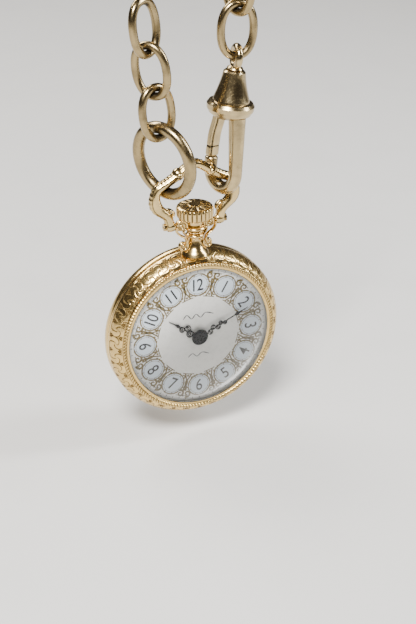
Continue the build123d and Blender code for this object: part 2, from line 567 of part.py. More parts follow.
# ---- crown wheel: face teeth under the winding pinion, an arbor, and a gear that turns the ratchet ----
with BuildPart() as crown_wheel:
    gear(CROWN_WHEEL_XZ, CROWN_WHEEL_TEETH, RATCHET_MODULE, RATCHET_ANGLE, 1.5, 1.72)
    plate(CROWN_WHEEL_XZ, 0.7, 1.32, 1.5)
    plate(CROWN_WHEEL_XZ, 0.45 - RUNNING_FIT, 1.72, 4.25)
    plate(CROWN_WHEEL_XZ, 2.25, 4.2, 4.36)
    with BuildSketch(at_depth(4.36)):
        with Locations(CROWN_WHEEL_XZ):
            with PolarLocations(2.05, CONTRATE_TEETH):
                Rectangle(0.36, 0.15)
    extrude(amount=0.1)
crown_wheel.part.label = "crown_wheel"
export_step(crown_wheel.part, "parts/crown_wheel.step")

# ---- click: a pawl beside the ratchet ----
CLICK_PIVOT = step_from(BARREL, 4.75, -12)
with BuildPart() as click:
    bar(CLICK_PIVOT, step_from(BARREL, 3.75, 10), 0.2, 1.52, 1.7)
    plate(CLICK_PIVOT, 0.5, 1.52, 1.7)
    plate(CLICK_PIVOT, 0.2, 1.3, 1.9)
click.part.label = "click"
export_step(click.part, "parts/click.step")

# ---- going train: each wheel with its pinion and pivots ----
def crossed(xz, r, d0, d1, spokes=4):
    """Open a wheel's web into spokes."""
    with BuildSketch(at_depth(d0)) as web:
        with Locations(xz):
            Circle(r * 0.78)
            Circle(r * 0.26, mode=Mode.SUBTRACT)
            for k in range(spokes):
                with Locations(Location((0, 0, 0), 180.0 / spokes * k)):
                    Rectangle(2 * r, r * 0.11, mode=Mode.SUBTRACT)
    extrude(web.sketch, amount=d1 - d0, mode=Mode.SUBTRACT)


with BuildPart() as centre_wheel:
    gear(CENTRE, CENTRE_TEETH, CENTRE_MODULE, THIRD_ANGLE, 2.7, 2.9)
    crossed(CENTRE, CENTRE_MODULE * CENTRE_TEETH / 2, 2.7, 2.9, 2)
    gear(CENTRE, CENTRE_LEAVES, BARREL_MODULE, BARREL_ANGLE + 180 / CENTRE_LEAVES, 3.9, 4.3)
    plate(CENTRE, PIVOT_R, 2.05, 2.7)
    plate(CENTRE, 0.4, 2.6, 3.9)
    plate(CENTRE, 0.26, 4.3, 4.98)
    plate(CENTRE, 0.2, 4.98, 5.4)
centre_wheel.part.label = "centre_wheel"
export_step(centre_wheel.part, "parts/centre_wheel.step")

with BuildPart() as third_wheel:
    gear(THIRD, THIRD_TEETH, THIRD_MODULE, FOURTH_ANGLE, 3.45, 3.6)
    crossed(THIRD, THIRD_MODULE * THIRD_TEETH / 2, 3.45, 3.6, 2)
    gear(THIRD, THIRD_LEAVES, CENTRE_MODULE, facing(THIRD_ANGLE, THIRD_LEAVES), 2.62, 2.98)
    pivots(THIRD, 0.28, 2.05, 4.93, 2.6, 4.45)
third_wheel.part.label = "third_wheel"
export_step(third_wheel.part, "parts/third_wheel.step")

with BuildPart() as fourth_wheel:
    gear(FOURTH, FOURTH_TEETH, FOURTH_MODULE, ESCAPE_ANGLE, 3.1, 3.24)
    crossed(FOURTH, FOURTH_MODULE * FOURTH_TEETH / 2, 3.1, 3.24, 2)
    gear(FOURTH, FOURTH_LEAVES, THIRD_MODULE, facing(FOURTH_ANGLE, FOURTH_LEAVES), 3.36, 3.7)
    pivots(FOURTH, 0.26, 2.05, 4.93, 2.6, 4.45)
fourth_wheel.part.label = "fourth_wheel"
export_step(fourth_wheel.part, "parts/fourth_wheel.step")

with BuildPart() as escape_wheel:
    points = []
    for k in range(ESCAPE_TEETH):
        for r, a in ((1.6, 3), (1.55, 15), (ESCAPE_R, 19.5), (ESCAPE_R, 21.5), (1.62, 23.5)):
            points.append(step_from(ESCAPE, r, a + k * 360 / ESCAPE_TEETH + PALLET_ANGLE))
    slab(points, 4.05, 4.18)
    crossed(ESCAPE, 1.75, 4.05, 4.18, 2)
    gear(ESCAPE, ESCAPE_LEAVES, FOURTH_MODULE, facing(ESCAPE_ANGLE, ESCAPE_LEAVES), 3.0, 3.36)
    pivots(ESCAPE, 0.2, 2.05, 4.93, 2.7, 4.45)
escape_wheel.part.label = "escape_wheel"
export_step(escape_wheel.part, "parts/escape_wheel.step")

# ---- pallet fork: two jewelled arms over the escape wheel and a forked lever towards the balance ----
with BuildPart() as pallet_fork:
    for side in (-1, 1):
        stone = step_from(ESCAPE, ESCAPE_R + 0.16, PALLET_ANGLE + side * 30)
        bar(PALLET, stone, 0.13, 4.05, 4.18)
    bar(PALLET, step_from(PALLET, 2.25, PALLET_ANGLE), 0.1, 4.05, 4.18)
    for side in (-1, 1):
        root = step_from(PALLET, 2.25, PALLET_ANGLE)
        tip = step_from(step_from(PALLET, 2.75, PALLET_ANGLE), 0.24, PALLET_ANGLE + side * 90)
        bar(root, tip, 0.07, 4.05, 4.18)
    pivots(PALLET, 0.18, 3.74, 4.93, 3.96, 4.45)
pallet_fork.part.label = "pallet_fork"
export_step(pallet_fork.part, "parts/pallet_fork.step")

# ---- balance: rim with timing screws, two arms, staff, roller and impulse pin ----
with BuildPart() as balance_wheel:
    plate(BALANCE, BALANCE_R - 0.25, 3.15, 3.45)
    plate(BALANCE, BALANCE_R - 0.6, 3.15, 3.45, Mode.SUBTRACT)
    bar(step_from(BALANCE, BALANCE_R - 0.4, 30), step_from(BALANCE, BALANCE_R - 0.4, 210), 0.17, 3.22, 3.38)
    for k in range(12):
        with BuildSketch(Plane(
            origin=(BALANCE[0] + (BALANCE_R - 0.3) * cos(pi / 6 * k), -3.3, BALANCE[1] + (BALANCE_R - 0.3) * sin(pi / 6 * k)),
            z_dir=(cos(pi / 6 * k), 0, sin(pi / 6 * k)),
        )):
            Circle(0.13)
        extrude(amount=0.28)
    plate(BALANCE, 0.3, 2.62, 3.75)
    plate(BALANCE, 0.42, 3.6, 3.75)
    plate(BALANCE, PIVOT_R, 2.12, 4.93)
    plate(step_from(BALANCE, 0.3, PALLET_ANGLE + 180), 0.07, 3.75, 4.15)
balance_wheel.part.label = "balance_wheel"
export_step(balance_wheel.part, "parts/balance_wheel.step")

HAIRSPRING_TURNS = 5
with BuildPart() as hairspring:
    for k in range(HAIRSPRING_TURNS):
        plate(BALANCE, 2.1 - 0.32 * k, 2.75, 2.9)
        plate(BALANCE, 2.06 - 0.32 * k, 2.75, 2.9, Mode.SUBTRACT)
    bar(step_from(BALANCE, 0.35, 200), step_from(BALANCE, 2.08, 200), 0.03, 2.75, 2.9)
    plate(BALANCE, 0.45, 2.75, 2.9)
    plate(BALANCE, 0.31, 2.75, 2.9, Mode.SUBTRACT)
hairspring.part.label = "hairspring"
export_step(hairspring.part, "parts/hairspring.step")

with BuildPart() as regulator:
    plate(BALANCE, 0.85, 1.72, 1.93)
    plate(BALANCE, 0.52, 1.72, 1.93, Mode.SUBTRACT)
    bar(step_from(BALANCE, 0.72, -70), step_from(BALANCE, 2.9, -70), 0.1, 1.72, 1.93)
regulator.part.label = "regulator"
export_step(regulator.part, "parts/regulator.step")

# ---- motion work ----
with BuildPart() as cannon_pinion:
    gear(CENTRE, CANNON_TEETH, MOTION_MODULE, MINUTE_WHEEL_ANGLE + 180 / CANNON_TEETH, 5.05, 5.35)
    plate(CENTRE, 0.36, 5.35, 6.95)
    plate(CENTRE, 0.2 + 0.02, 5.05, 5.45, Mode.SUBTRACT)
cannon_pinion.part.label = "cannon_pinion"
export_step(cannon_pinion.part, "parts/cannon_pinion.step")

with BuildPart() as minute_wheel:
    gear(MINUTE, MINUTE_TEETH, MOTION_MODULE, MINUTE_WHEEL_ANGLE + 180, 5.08, 5.22)
    gear(MINUTE, MINUTE_LEAVES, HOUR_MODULE, MINUTE_WHEEL_ANGLE + 180, 5.22, 5.72)
    plate(MINUTE, 0.25, 5.0 - 0.2, 5.08)
minute_wheel.part.label = "minute_wheel"
export_step(minute_wheel.part, "parts/minute_wheel.step")

with BuildPart() as hour_wheel:
    gear(CENTRE, HOUR_TEETH, HOUR_MODULE, MINUTE_WHEEL_ANGLE + 180 / HOUR_TEETH, 5.46, 5.66)
    plate(CENTRE, 0.6, 5.66, 6.55)
    plate(CENTRE, 0.36 + RUNNING_FIT, 5.46, 6.55, Mode.SUBTRACT)
hour_wheel.part.label = "hour_wheel"
export_step(hour_wheel.part, "parts/hour_wheel.step")

with BuildPart() as setting_wheel:
    gear(SETTING, SETTING_TEETH, MOTION_MODULE, facing(88.0, SETTING_TEETH), 5.08, 5.3)
    plate(SETTING, 0.25, 4.8, 5.6)
setting_wheel.part.label = "setting_wheel"
export_step(setting_wheel.part, "parts/setting_wheel.step")

# ---- keyless works ----
with BuildPart() as winding_pinion:
    with BuildSketch(Plane(origin=(0, -STEM_DEPTH, 8.65), x_dir=(1, 0, 0), z_dir=(0, 0, 1))):
        Circle(PINION_R - 0.12)
        with PolarLocations(PINION_R - 0.14, 14):
            Rectangle(0.24, 0.13)
        Circle(0.33, mode=Mode.SUBTRACT)
    extrude(amount=0.9)
winding_pinion.part.label = "winding_pinion"
export_step(winding_pinion.part, "parts/winding_pinion.step")

with BuildPart() as clutch:
    with BuildSketch(NECK_PROFILE):
        with BuildLine():
            Polyline((0.33, 7.4), (PINION_R - 0.05, 7.4), (PINION_R - 0.05, 7.75), (0.45, 7.75), (0.45, 8.05),
                     (PINION_R - 0.05, 8.05), (PINION_R - 0.05, 8.6), (0.33, 8.6), close=True)
        make_face()
    revolve(axis=STEM_AXIS)
clutch.part.label = "clutch"
export_step(clutch.part, "parts/clutch.step")

with BuildPart() as setting_lever:
    bar(SETTING_LEVER_PIVOT, (-0.62, 9.95), 0.22, 5.35, 5.6)
    plate(SETTING_LEVER_PIVOT, 0.5, 5.35, 5.6)
    plate(SETTING_LEVER_PIVOT, 0.2, 4.96, 5.7)
setting_lever.part.label = "setting_lever"
export_step(setting_lever.part, "parts/setting_lever.step")

with BuildPart() as yoke:
    bar(YOKE_PIVOT, (-0.62, 7.9), 0.12, 5.0, 5.25)
    plate(YOKE_PIVOT, 0.45, 5.0, 5.25)
    plate(YOKE_PIVOT, 0.2, 4.96, 5.6)
yoke.part.label = "yoke"
export_step(yoke.part, "parts/yoke.step")

# ---- dial: a thin plate with a centre hole and twelve raised cartouches ----
NUMERAL_R = 9.4
with BuildPart() as dial:
    plate(CENTRE, RING_R - 0.05, DIAL_BACK, DIAL_FRONT)
    plate(CENTRE, 0.8, DIAL_BACK, DIAL_FRONT, Mode.SUBTRACT)
    with BuildSketch(at_depth(DIAL_FRONT)):
        with PolarLocations(NUMERAL_R, 12):
            Ellipse(1.92, 1.72)
    extrude(amount=0.03)
dial.part.label = "dial"
export_step(dial.part, "parts/dial.step")

# ---- hands: openwork loops running to a thin tip ----
HOUR_CLOCK, HOUR_LENGTH = 305.5, 6.5
MINUTE_CLOCK, MINUTE_LENGTH = 66.0, 9.5
with BuildPart() as hour_hand:
    with BuildSketch(at_depth(6.38, HOUR_CLOCK)):
        Circle(0.95)
        for side, y, r in ((-1, 1.75, 0.62), (1, 2.6, 0.58), (-1, 3.4, 0.5)):
            with Locations((side * 0.34, y)):
                Circle(r)
                Circle(r - 0.2, mode=Mode.SUBTRACT)
        with BuildLine():
            Polyline((-0.16, 0.8), (0.16, 0.8), (0.12, 3.9), (0.42, 4.4), (0.07, 5.2), (0.02, HOUR_LENGTH),
                     (-0.02, HOUR_LENGTH), (-0.07, 5.2), (-0.42, 4.4), (-0.12, 3.9), close=True)
        make_face()
        Circle(0.605, mode=Mode.SUBTRACT)
    extrude(amount=0.12)
hour_hand.part.label = "hour_hand"
export_step(hour_hand.part, "parts/hour_hand.step")

with BuildPart() as minute_hand:
    with BuildSketch(at_depth(6.75, MINUTE_CLOCK)):
        Circle(1.0)
        for side, y, r in ((1, 2.1, 0.6), (-1, 3.0, 0.56), (1, 3.9, 0.5), (-1, 4.7, 0.44)):
            with Locations((side * 0.3, y)):
                Circle(r)
                Circle(r - 0.18, mode=Mode.SUBTRACT)
        with BuildLine():
            Polyline((-0.14, 0.8), (0.14, 0.8), (0.1, 5.6), (0.42, 6.3), (0.07, 7.3), (0.02, MINUTE_LENGTH),
                     (-0.02, MINUTE_LENGTH), (-0.07, 7.3), (-0.42, 6.3), (-0.1, 5.6), close=True)
        make_face()
        Circle(0.365, mode=Mode.SUBTRACT)
    extrude(amount=0.12)
    with BuildSketch(PROFILE):
        with BuildLine():
            Line((0, 6.97), (0.37, 6.97))
            Line((0.37, 6.97), (0.37, 6.87))
            Line((0.37, 6.87), (1.45, 6.87))
            ThreePointArc((1.45, 6.87), (0.85, 7.2), (0, 7.32))
            Line((0, 7.32), (0, 6.97))
        make_face()
    revolve(axis=Axis.Y)
minute_hand.part.label = "minute_hand"
export_step(minute_hand.part, "parts/minute_hand.step")


def loop(strand, low, yaw, half_w, half_h, wire_r):
    """A closed round-ended wire loop on a strand's line, its lowest point at low, turned about that line."""
    bend = min(half_w, half_h)
    run = half_h - bend
    path = Plane(strand * Location((0, 0, low), (0, 0, yaw)) * Location((0, 0, half_h + wire_r), (90, 0, 0)))
    with BuildLine(path) as wire:
        if run > 0:
            Line((bend, -run), (bend, run))
            ThreePointArc((bend, run), (0, half_h), (-bend, run))
            Line((-bend, run), (-bend, -run))
            ThreePointArc((-bend, -run), (0, -half_h), (bend, -run))
        else:
            ThreePointArc((bend, 0), (0, half_h), (-bend, 0))
            ThreePointArc((-bend, 0), (0, -half_h), (bend, 0))
    with BuildSketch(Plane(origin=wire.line @ 0, z_dir=wire.line % 0)) as section:
        Circle(wire_r)
    sweep(section.sketch, path=wire.line)


# ---- strands: end ring and links, all interlinked along two lines that spread upwards ----
LINK_PITCH = LINK_LENGTH - 4 * LINK_WIRE_R - LINK_GAP
LEFT_LOW = 2 * RING_HALF_H - RING_WIRE_R - 2 * LINK_WIRE_R - LINK_GAP
LINK_HALF_W = LINK_WIDTH / 2 - LINK_WIRE_R
LINK_HALF_H = LINK_LENGTH / 2 - LINK_WIRE_R
LEFT_STRAND = Location((-4.3, -STEM_DEPTH, 25.72), (0, LEFT_LEAN, 0))
RIGHT_STRAND = Location((7.1, -STEM_DEPTH, 45.9), (0, RIGHT_LEAN, 0))

with BuildPart() as end_ring:
    loop(LEFT_STRAND, -RING_WIRE_R, RING_YAW, RING_HALF_W, RING_HALF_H, RING_WIRE_R)
end_ring.part.label = "end_ring"
export_step(end_ring.part, "parts/end_ring.step")

with BuildPart() as chain_link_left_1:
    loop(LEFT_STRAND, LEFT_LOW, 15.0, LINK_HALF_W, LINK_HALF_H, LINK_WIRE_R)
chain_link_left_1.part.label = "chain_link_left_1"
export_step(chain_link_left_1.part, "parts/chain_link_left_1.step")

with BuildPart() as chain_link_left_2:
    loop(LEFT_STRAND, LEFT_LOW + LINK_PITCH, -49.0, LINK_HALF_W, LINK_HALF_H, LINK_WIRE_R)
chain_link_left_2.part.label = "chain_link_left_2"
export_step(chain_link_left_2.part, "parts/chain_link_left_2.step")

with BuildPart() as chain_link_left_3:
    loop(LEFT_STRAND, LEFT_LOW + 2 * LINK_PITCH, 31.0, LINK_HALF_W, LINK_HALF_H, LINK_WIRE_R)
chain_link_left_3.part.label = "chain_link_left_3"
export_step(chain_link_left_3.part, "parts/chain_link_left_3.step")

with BuildPart() as chain_link_right_1:
    loop(RIGHT_STRAND, 0, -2.0, LINK_HALF_W, LINK_HALF_H, LINK_WIRE_R)
chain_link_right_1.part.label = "chain_link_right_1"
export_step(chain_link_right_1.part, "parts/chain_link_right_1.step")

with BuildPart() as chain_link_right_2:
    loop(RIGHT_STRAND, LINK_PITCH, -67.0, LINK_HALF_W, LINK_HALF_H, LINK_WIRE_R)
chain_link_right_2.part.label = "chain_link_right_2"
export_step(chain_link_right_2.part, "parts/chain_link_right_2.step")

# ---- swivel clip: everything is set out along its leaning axis from the bottom of the hook ----
LEAN = radians(CLIP_LEAN)
CLIP_AXIS = (sin(LEAN), 0, cos(LEAN))
CLIP = Location((CLIP_FOOT[0], -STEM_DEPTH, CLIP_FOOT[1]), (0, CLIP_LEAN, 0)) * Location((0, 0, 0), (0, 0, CLIP_YAW))
CLIP_PLANE = Plane(CLIP * Location((0, 0, 0), (90, 0, 0)))
CLIP_REV = Axis(origin=(CLIP_FOOT[0], -STEM_DEPTH, CLIP_FOOT[1]), direction=CLIP_AXIS)
EYE_YAW = -97.0
EYE_CENTRE = 21.17
EYE_R = 1.5
EYE_WIRE_R = 0.6
POST_R = 0.6

with BuildPart() as swivel_eye:
    with Locations(CLIP * Location((0, 0, EYE_CENTRE), (0, 0, EYE_YAW - CLIP_YAW)) * Location((0, 0, 0), (90, 0, 0))):
        Torus(EYE_R, EYE_WIRE_R)
    with BuildSketch(CLIP_PLANE):
        with BuildLine():
            Polyline((0, 16.6), (1.1, 16.6), (1.1, 17.2), (POST_R, 17.2), (POST_R, EYE_CENTRE - 1.6),
                     (0, EYE_CENTRE - 1.6), close=True)
        make_face()
    revolve(axis=CLIP_REV)
swivel_eye.part.label = "swivel_eye"
export_step(swivel_eye.part, "parts/swivel_eye.step")

with BuildPart() as swivel_bell:
    with BuildSketch(CLIP_PLANE):
        with BuildLine():
            Line((POST_R + RUNNING_FIT, 19.1), (1.5, 19.1))
            Line((1.5, 19.1), (1.75, 18.85))
            Spline((1.75, 18.85), (2.15, 16.8), (2.85, 14.6), tangents=((0.1, -1), (0.35, -1)))
            Line((2.85, 14.6), (2.9, 14.3))
            Line((2.9, 14.3), (3.45, 14.15))
            Line((3.45, 14.15), (COLLAR_R, 13.7))
            Line((COLLAR_R, 13.7), (3.7, 13.0))
            Line((3.7, 13.0), (3.3, 12.3))
            Line((3.3, 12.3), (2.6, 11.8))
            Line((2.6, 11.8), (0, 11.8))
            Line((0, 11.8), (0, 16.4))
            Line((0, 16.4), (1.2, 16.4))
            Line((1.2, 16.4), (1.2, 17.26))
            Line((1.2, 17.26), (POST_R + RUNNING_FIT, 17.26))
            Line((POST_R + RUNNING_FIT, 17.26), (POST_R + RUNNING_FIT, 19.1))
        make_face()
    revolve(axis=CLIP_REV)
    with BuildSketch(CLIP_PLANE):
        with Locations((-1.8, 12.1)):
            Rectangle(2.1, 2.7)
    extrude(amount=GATE_R + 0.1, both=True, mode=Mode.SUBTRACT)
    with BuildSketch(CLIP_PLANE):
        with Locations(GATE_PIVOT):
            Circle(0.3)
    extrude(amount=2.4, both=True, mode=Mode.SUBTRACT)
swivel_bell.part.label = "swivel_bell"
export_step(swivel_bell.part, "parts/swivel_bell.step")

with BuildPart() as clip_hook:
    with BuildLine(CLIP_PLANE) as hook_line:
        Line((-HOOK_HALF_W, HOOK_TIP), (-HOOK_HALF_W, HOOK_HALF_W))
        ThreePointArc((-HOOK_HALF_W, HOOK_HALF_W), (0, 0), (HOOK_HALF_W, HOOK_HALF_W))
    hook_wire = hook_line.wires()[0]
    with BuildSketch(Plane(origin=hook_wire @ 0, z_dir=hook_wire % 0)):
        Circle(HOOK_R)
    sweep(path=hook_wire)
    shank_foot = CLIP_PLANE.from_local_coords((HOOK_HALF_W, HOOK_HALF_W - 0.02, 0))
    shank_head = CLIP_PLANE.from_local_coords((*SHANK_TOP, 0))
    shank = Plane(origin=shank_foot, z_dir=shank_head - shank_foot)
    with BuildSketch(shank):
        Circle(HOOK_R)
    with BuildSketch(shank.offset((shank_head - shank_foot).length)):
        Circle(SHANK_TOP_R)
    loft()
clip_hook.part.label = "clip_hook"
export_step(clip_hook.part, "parts/clip_hook.step")

with BuildPart() as clip_gate:
    with BuildSketch(CLIP_PLANE) as gate_side:
        with BuildLine():
            Polyline((-1.5, 13.2), (-2.5, 13.2), (-2.6, 11.8), (-3.5, 8.4), (-3.6, 4.5), (-2.2, 4.5), (-2.1, 8.4),
                     (-1.4, 11.8), close=True)
        make_face()
    extrude(amount=GATE_R, both=True)
    with BuildSketch(CLIP_PLANE):
        with Locations(GATE_PIVOT):
            Circle(0.3 + GATE_FIT)
    extrude(amount=2, both=True, mode=Mode.SUBTRACT)
clip_gate.part.label = "clip_gate"
export_step(clip_gate.part, "parts/clip_gate.step")

with BuildPart() as gate_pin:
    with BuildSketch(CLIP_PLANE):
        with Locations(GATE_PIVOT):
            Circle(0.3)
    extrude(amount=2.2, both=True)
gate_pin.part.label = "gate_pin"
export_step(gate_pin.part, "parts/gate_pin.step")
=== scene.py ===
from math import cos, pi, radians, sin

import bpy
import numpy as np
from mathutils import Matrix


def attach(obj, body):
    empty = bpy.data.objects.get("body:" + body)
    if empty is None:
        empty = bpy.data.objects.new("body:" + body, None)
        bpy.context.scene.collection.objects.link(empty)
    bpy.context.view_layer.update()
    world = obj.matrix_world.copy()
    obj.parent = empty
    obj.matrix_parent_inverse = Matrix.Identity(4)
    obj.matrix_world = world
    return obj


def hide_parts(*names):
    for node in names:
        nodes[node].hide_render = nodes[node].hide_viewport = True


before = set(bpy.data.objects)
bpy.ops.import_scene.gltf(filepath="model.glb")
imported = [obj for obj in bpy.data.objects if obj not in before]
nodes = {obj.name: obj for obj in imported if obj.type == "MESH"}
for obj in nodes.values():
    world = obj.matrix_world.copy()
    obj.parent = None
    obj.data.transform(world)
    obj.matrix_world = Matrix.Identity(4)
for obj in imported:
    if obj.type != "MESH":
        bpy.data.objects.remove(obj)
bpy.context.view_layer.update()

# ---------------------------------------------------------------------------------------------
# Back cover. A pressed gold-plated cup with a flat back and a full rounded rim, which snaps over
# the case middle. Turned on a lathe and polished, with fine handling marks.
# ---------------------------------------------------------------------------------------------
MM = 0.001
AROUND = np.linspace(0, 2 * pi, 361)[:-1]


def grid_part(points, wrap_u=False, wrap_v=False, caps=False, recess=None):
    """Quads between neighbouring points of a (u, v, 3) grid, closed in u or v if wrapped. Caps fill the u ends. The
    optional per-point values are painted shade.
    """
    nu, nv = points.shape[:2]
    index = np.arange(nu * nv).reshape(nu, nv)
    u0 = np.arange(nu if wrap_u else nu - 1)
    v0 = np.arange(nv if wrap_v else nv - 1)
    a, b = np.meshgrid(u0, v0, indexing="ij")
    a2, b2 = (a + 1) % nu, (b + 1) % nv
    quads = np.stack([index[a, b], index[a2, b], index[a2, b2], index[a, b2]], -1).reshape(-1, 4)
    faces = quads.tolist()
    if caps:
        faces += [index[0].tolist(), index[-1][::-1].tolist()]
    shade = np.zeros(nu * nv) if recess is None else np.asarray(recess, float).reshape(-1)
    return points.reshape(-1, 3), faces, shade


def make_piece(name, parts, material, body, sharp=35.0, stands_for=()):
    """One object from several grid parts in millimetres: normals outwards, smooth but for sharp edges, riding a body."""
    points, faces, shade, start = [], [], [], 0
    for verts, quads, recess in parts:
        points.append(verts)
        faces += [[i + start for i in f] for f in quads]
        shade.append(recess)
        start += len(verts)
    mesh = bpy.data.meshes.new(name)
    mesh.from_pydata((np.concatenate(points) * MM).tolist(), [], faces)
    mesh.validate()
    # Stores each point's painted shade as an attribute, which the metal materials read.
    mesh.attributes.new("recess", "FLOAT", "POINT").data.foreach_set("value", np.concatenate(shade).astype(np.float32))
    piece = bpy.data.objects.new(name, mesh)
    bpy.context.scene.collection.objects.link(piece)
    turn_outwards(mesh)
    mesh.polygons.foreach_set("use_smooth", np.ones(len(mesh.polygons), bool))
    mesh.set_sharp_from_angle(angle=radians(sharp))
    mesh.materials.append(material)
    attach(piece, body)
    if stands_for:
        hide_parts(*stands_for)
    return piece


def turn_outwards(mesh):
    """Makes every closed shell's faces point out."""
    import bmesh
    shell = bmesh.new()
    shell.from_mesh(mesh)
    bmesh.ops.recalc_face_normals(shell, faces=shell.faces)
    shell.to_mesh(mesh)
    shell.free()


def turned(profile, turns=AROUND, wrap=True):
    """A closed profile of (radius, depth) turned about the watch's front-back axis."""
    r, d = np.asarray(profile, float).T
    x = r[:, None] * np.cos(turns)
    z = r[:, None] * np.sin(turns)
    return grid_part(np.stack([x, np.broadcast_to(-d[:, None], x.shape), z], -1), wrap_u=wrap, wrap_v=True)


def smooth_line(points, count):
    """A Catmull-Rom curve through the points, as count points evenly spaced in parameter."""
    p = np.asarray(points, float)
    p = np.vstack([2 * p[0] - p[1], p, 2 * p[-1] - p[-2]])
    t = np.linspace(0, len(p) - 3 - 1e-9, count)
    i, f = t.astype(int), (t % 1)[:, None]
    a, b, c, d = p[i], p[i + 1], p[i + 2], p[i + 3]
    return 0.5 * (2 * b + (c - a) * f + (2 * a - 5 * b + 4 * c - d) * f**2 + (3 * b - a - 3 * c + d) * f**3)


def group(name, inputs, outputs):
    """An empty shader node group with named sockets."""
    g = bpy.data.node_groups.new(name, "ShaderNodeTree")
    for n, kind, value in inputs:
        s = g.interface.new_socket(n, in_out="INPUT", socket_type=kind)
        s.default_value = value
    for n, kind in outputs:
        g.interface.new_socket(n, in_out="OUTPUT", socket_type=kind)
    return g, g.nodes.new("NodeGroupInput"), g.nodes.new("NodeGroupOutput")


def link(tree, source, target):
    tree.links.new(source, target)


def calc(tree, kind, a, b, clamp=False):
    """A Math node; a and b are sockets or numbers."""
    n = tree.nodes.new("ShaderNodeMath")
    n.operation, n.use_clamp = kind, clamp
    for k, v in enumerate((a, b)):
        if hasattr(v, "is_linked"):
            link(tree, v, n.inputs[k])
        else:
            n.inputs[k].default_value = v
    return n.outputs[0]


def mixed(tree, factor, a, b):
    """A colour mix; a and b are sockets or colours."""
    n = tree.nodes.new("ShaderNodeMix")
    n.data_type = "RGBA"
    link(tree, factor, n.inputs[0])
    for k, v in ((6, a), (7, b)):
        if hasattr(v, "is_linked"):
            link(tree, v, n.inputs[k])
        else:
            n.inputs[k].default_value = (*v, 1)
    return n.outputs[2]


def noise(tree, coords, scale, detail=4.0):
    """A noise texture's value."""
    n = tree.nodes.new("ShaderNodeTexNoise")
    link(tree, coords, n.inputs["Vector"])
    if hasattr(scale, "is_linked"):
        link(tree, scale, n.inputs["Scale"])
    else:
        n.inputs["Scale"].default_value = scale
    n.inputs["Detail"].default_value = detail
    return n.outputs["Fac"]


def stretch(tree, value, low, high, to_low=0.0, to_high=1.0):
    """Maps a value from one range to another, clamped."""
    n = tree.nodes.new("ShaderNodeMapRange")
    link(tree, value, n.inputs[0])
    for k, v in enumerate((low, high, to_low, to_high), 1):
        n.inputs[k].default_value = v
    return n.outputs[0]


def build_patina():
    """Aged metal: painted shade and random dirt blotches darken and dull it, and fine scratches raise roughness and
    height.
    """
    g, gi, go = group(
        "aged_metal",
        (("Metal", "NodeSocketColor", (0.8, 0.6, 0.3, 1)), ("Dirt_And_Shade", "NodeSocketColor", (0.05, 0.03, 0.02, 1)),
         ("Painted_Shade", "NodeSocketFloat", 0.0), ("Blotch", "NodeSocketFloat", 0.2), ("Rough", "NodeSocketFloat", 0.15)),
        (("Color", "NodeSocketColor"), ("Roughness", "NodeSocketFloat"), ("Height", "NodeSocketFloat")),
    )
    where = g.nodes.new("ShaderNodeTexCoord").outputs["Object"]
    cloud = noise(g, where, 420.0)
    grain = noise(g, where, 5200.0, 2.0)
    scratch_map = g.nodes.new("ShaderNodeMapping")
    scratch_map.inputs["Scale"].default_value = (900, 9000, 2600)
    link(g, where, scratch_map.inputs["Vector"])
    scratch = noise(g, scratch_map.outputs[0], 1.0, 3.0)
    worn = stretch(g, cloud, 0.45, 0.75)
    blotch = calc(g, "MULTIPLY", worn, gi.outputs["Blotch"])
    speck = calc(g, "MULTIPLY", stretch(g, grain, 0.62, 0.8), calc(g, "MULTIPLY", gi.outputs["Blotch"], 0.6))
    # Painted shade from the per-point attribute, broken by a little grain.
    recess = stretch(g, calc(g, "ADD", gi.outputs["Painted_Shade"], calc(g, "MULTIPLY", grain, 0.15)), 0.25, 0.85)
    # Painted shade and random dirt blotches and specks both pull the metal towards the one dark colour.
    dirt_and_shade = calc(g, "MAXIMUM", recess, calc(g, "ADD", blotch, speck, True), True)
    link(g, mixed(g, dirt_and_shade, gi.outputs["Metal"], gi.outputs["Dirt_And_Shade"]), go.inputs["Color"])
    rough = calc(g, "ADD", gi.outputs["Rough"], calc(g, "MULTIPLY", stretch(g, scratch, 0.5, 0.75), 0.1))
    rough = calc(g, "ADD", rough, calc(g, "MULTIPLY", dirt_and_shade, 0.35), True)
    link(g, rough, go.inputs["Roughness"])
    height = calc(g, "ADD", calc(g, "MULTIPLY", scratch, 0.5), calc(g, "MULTIPLY", grain, 0.35))
    link(g, height, go.inputs["Height"])
    return g


AGED = build_patina()


def aged_metal(name, metal, dirt_and_shade, rough, blotch, bump):
    """A metal with the aged_metal group's colour, roughness and bump."""
    m = bpy.data.materials.new(name)
    m.use_nodes = True
    t = m.node_tree
    shader = t.nodes["Principled BSDF"]
    shader.inputs["Metallic"].default_value = 1.0
    aged = t.nodes.new("ShaderNodeGroup")
    aged.node_tree = AGED
    aged.inputs["Metal"].default_value = (*metal, 1)
    aged.inputs["Dirt_And_Shade"].default_value = (*dirt_and_shade, 1)
    aged.inputs["Rough"].default_value = rough
    aged.inputs["Blotch"].default_value = blotch
    # The per-point attribute carries each piece's painted shade into the group.
    mark = t.nodes.new("ShaderNodeAttribute")
    mark.attribute_name = "recess"
    link(t, mark.outputs["Fac"], aged.inputs["Painted_Shade"])
    relief = t.nodes.new("ShaderNodeBump")
    relief.inputs["Distance"].default_value = 0.00002
    relief.inputs["Strength"].default_value = bump
    link(t, aged.outputs["Height"], relief.inputs["Height"])
    link(t, aged.outputs["Color"], shader.inputs["Base Color"])
    link(t, aged.outputs["Roughness"], shader.inputs["Roughness"])
    link(t, relief.outputs["Normal"], shader.inputs["Normal"])
    return m


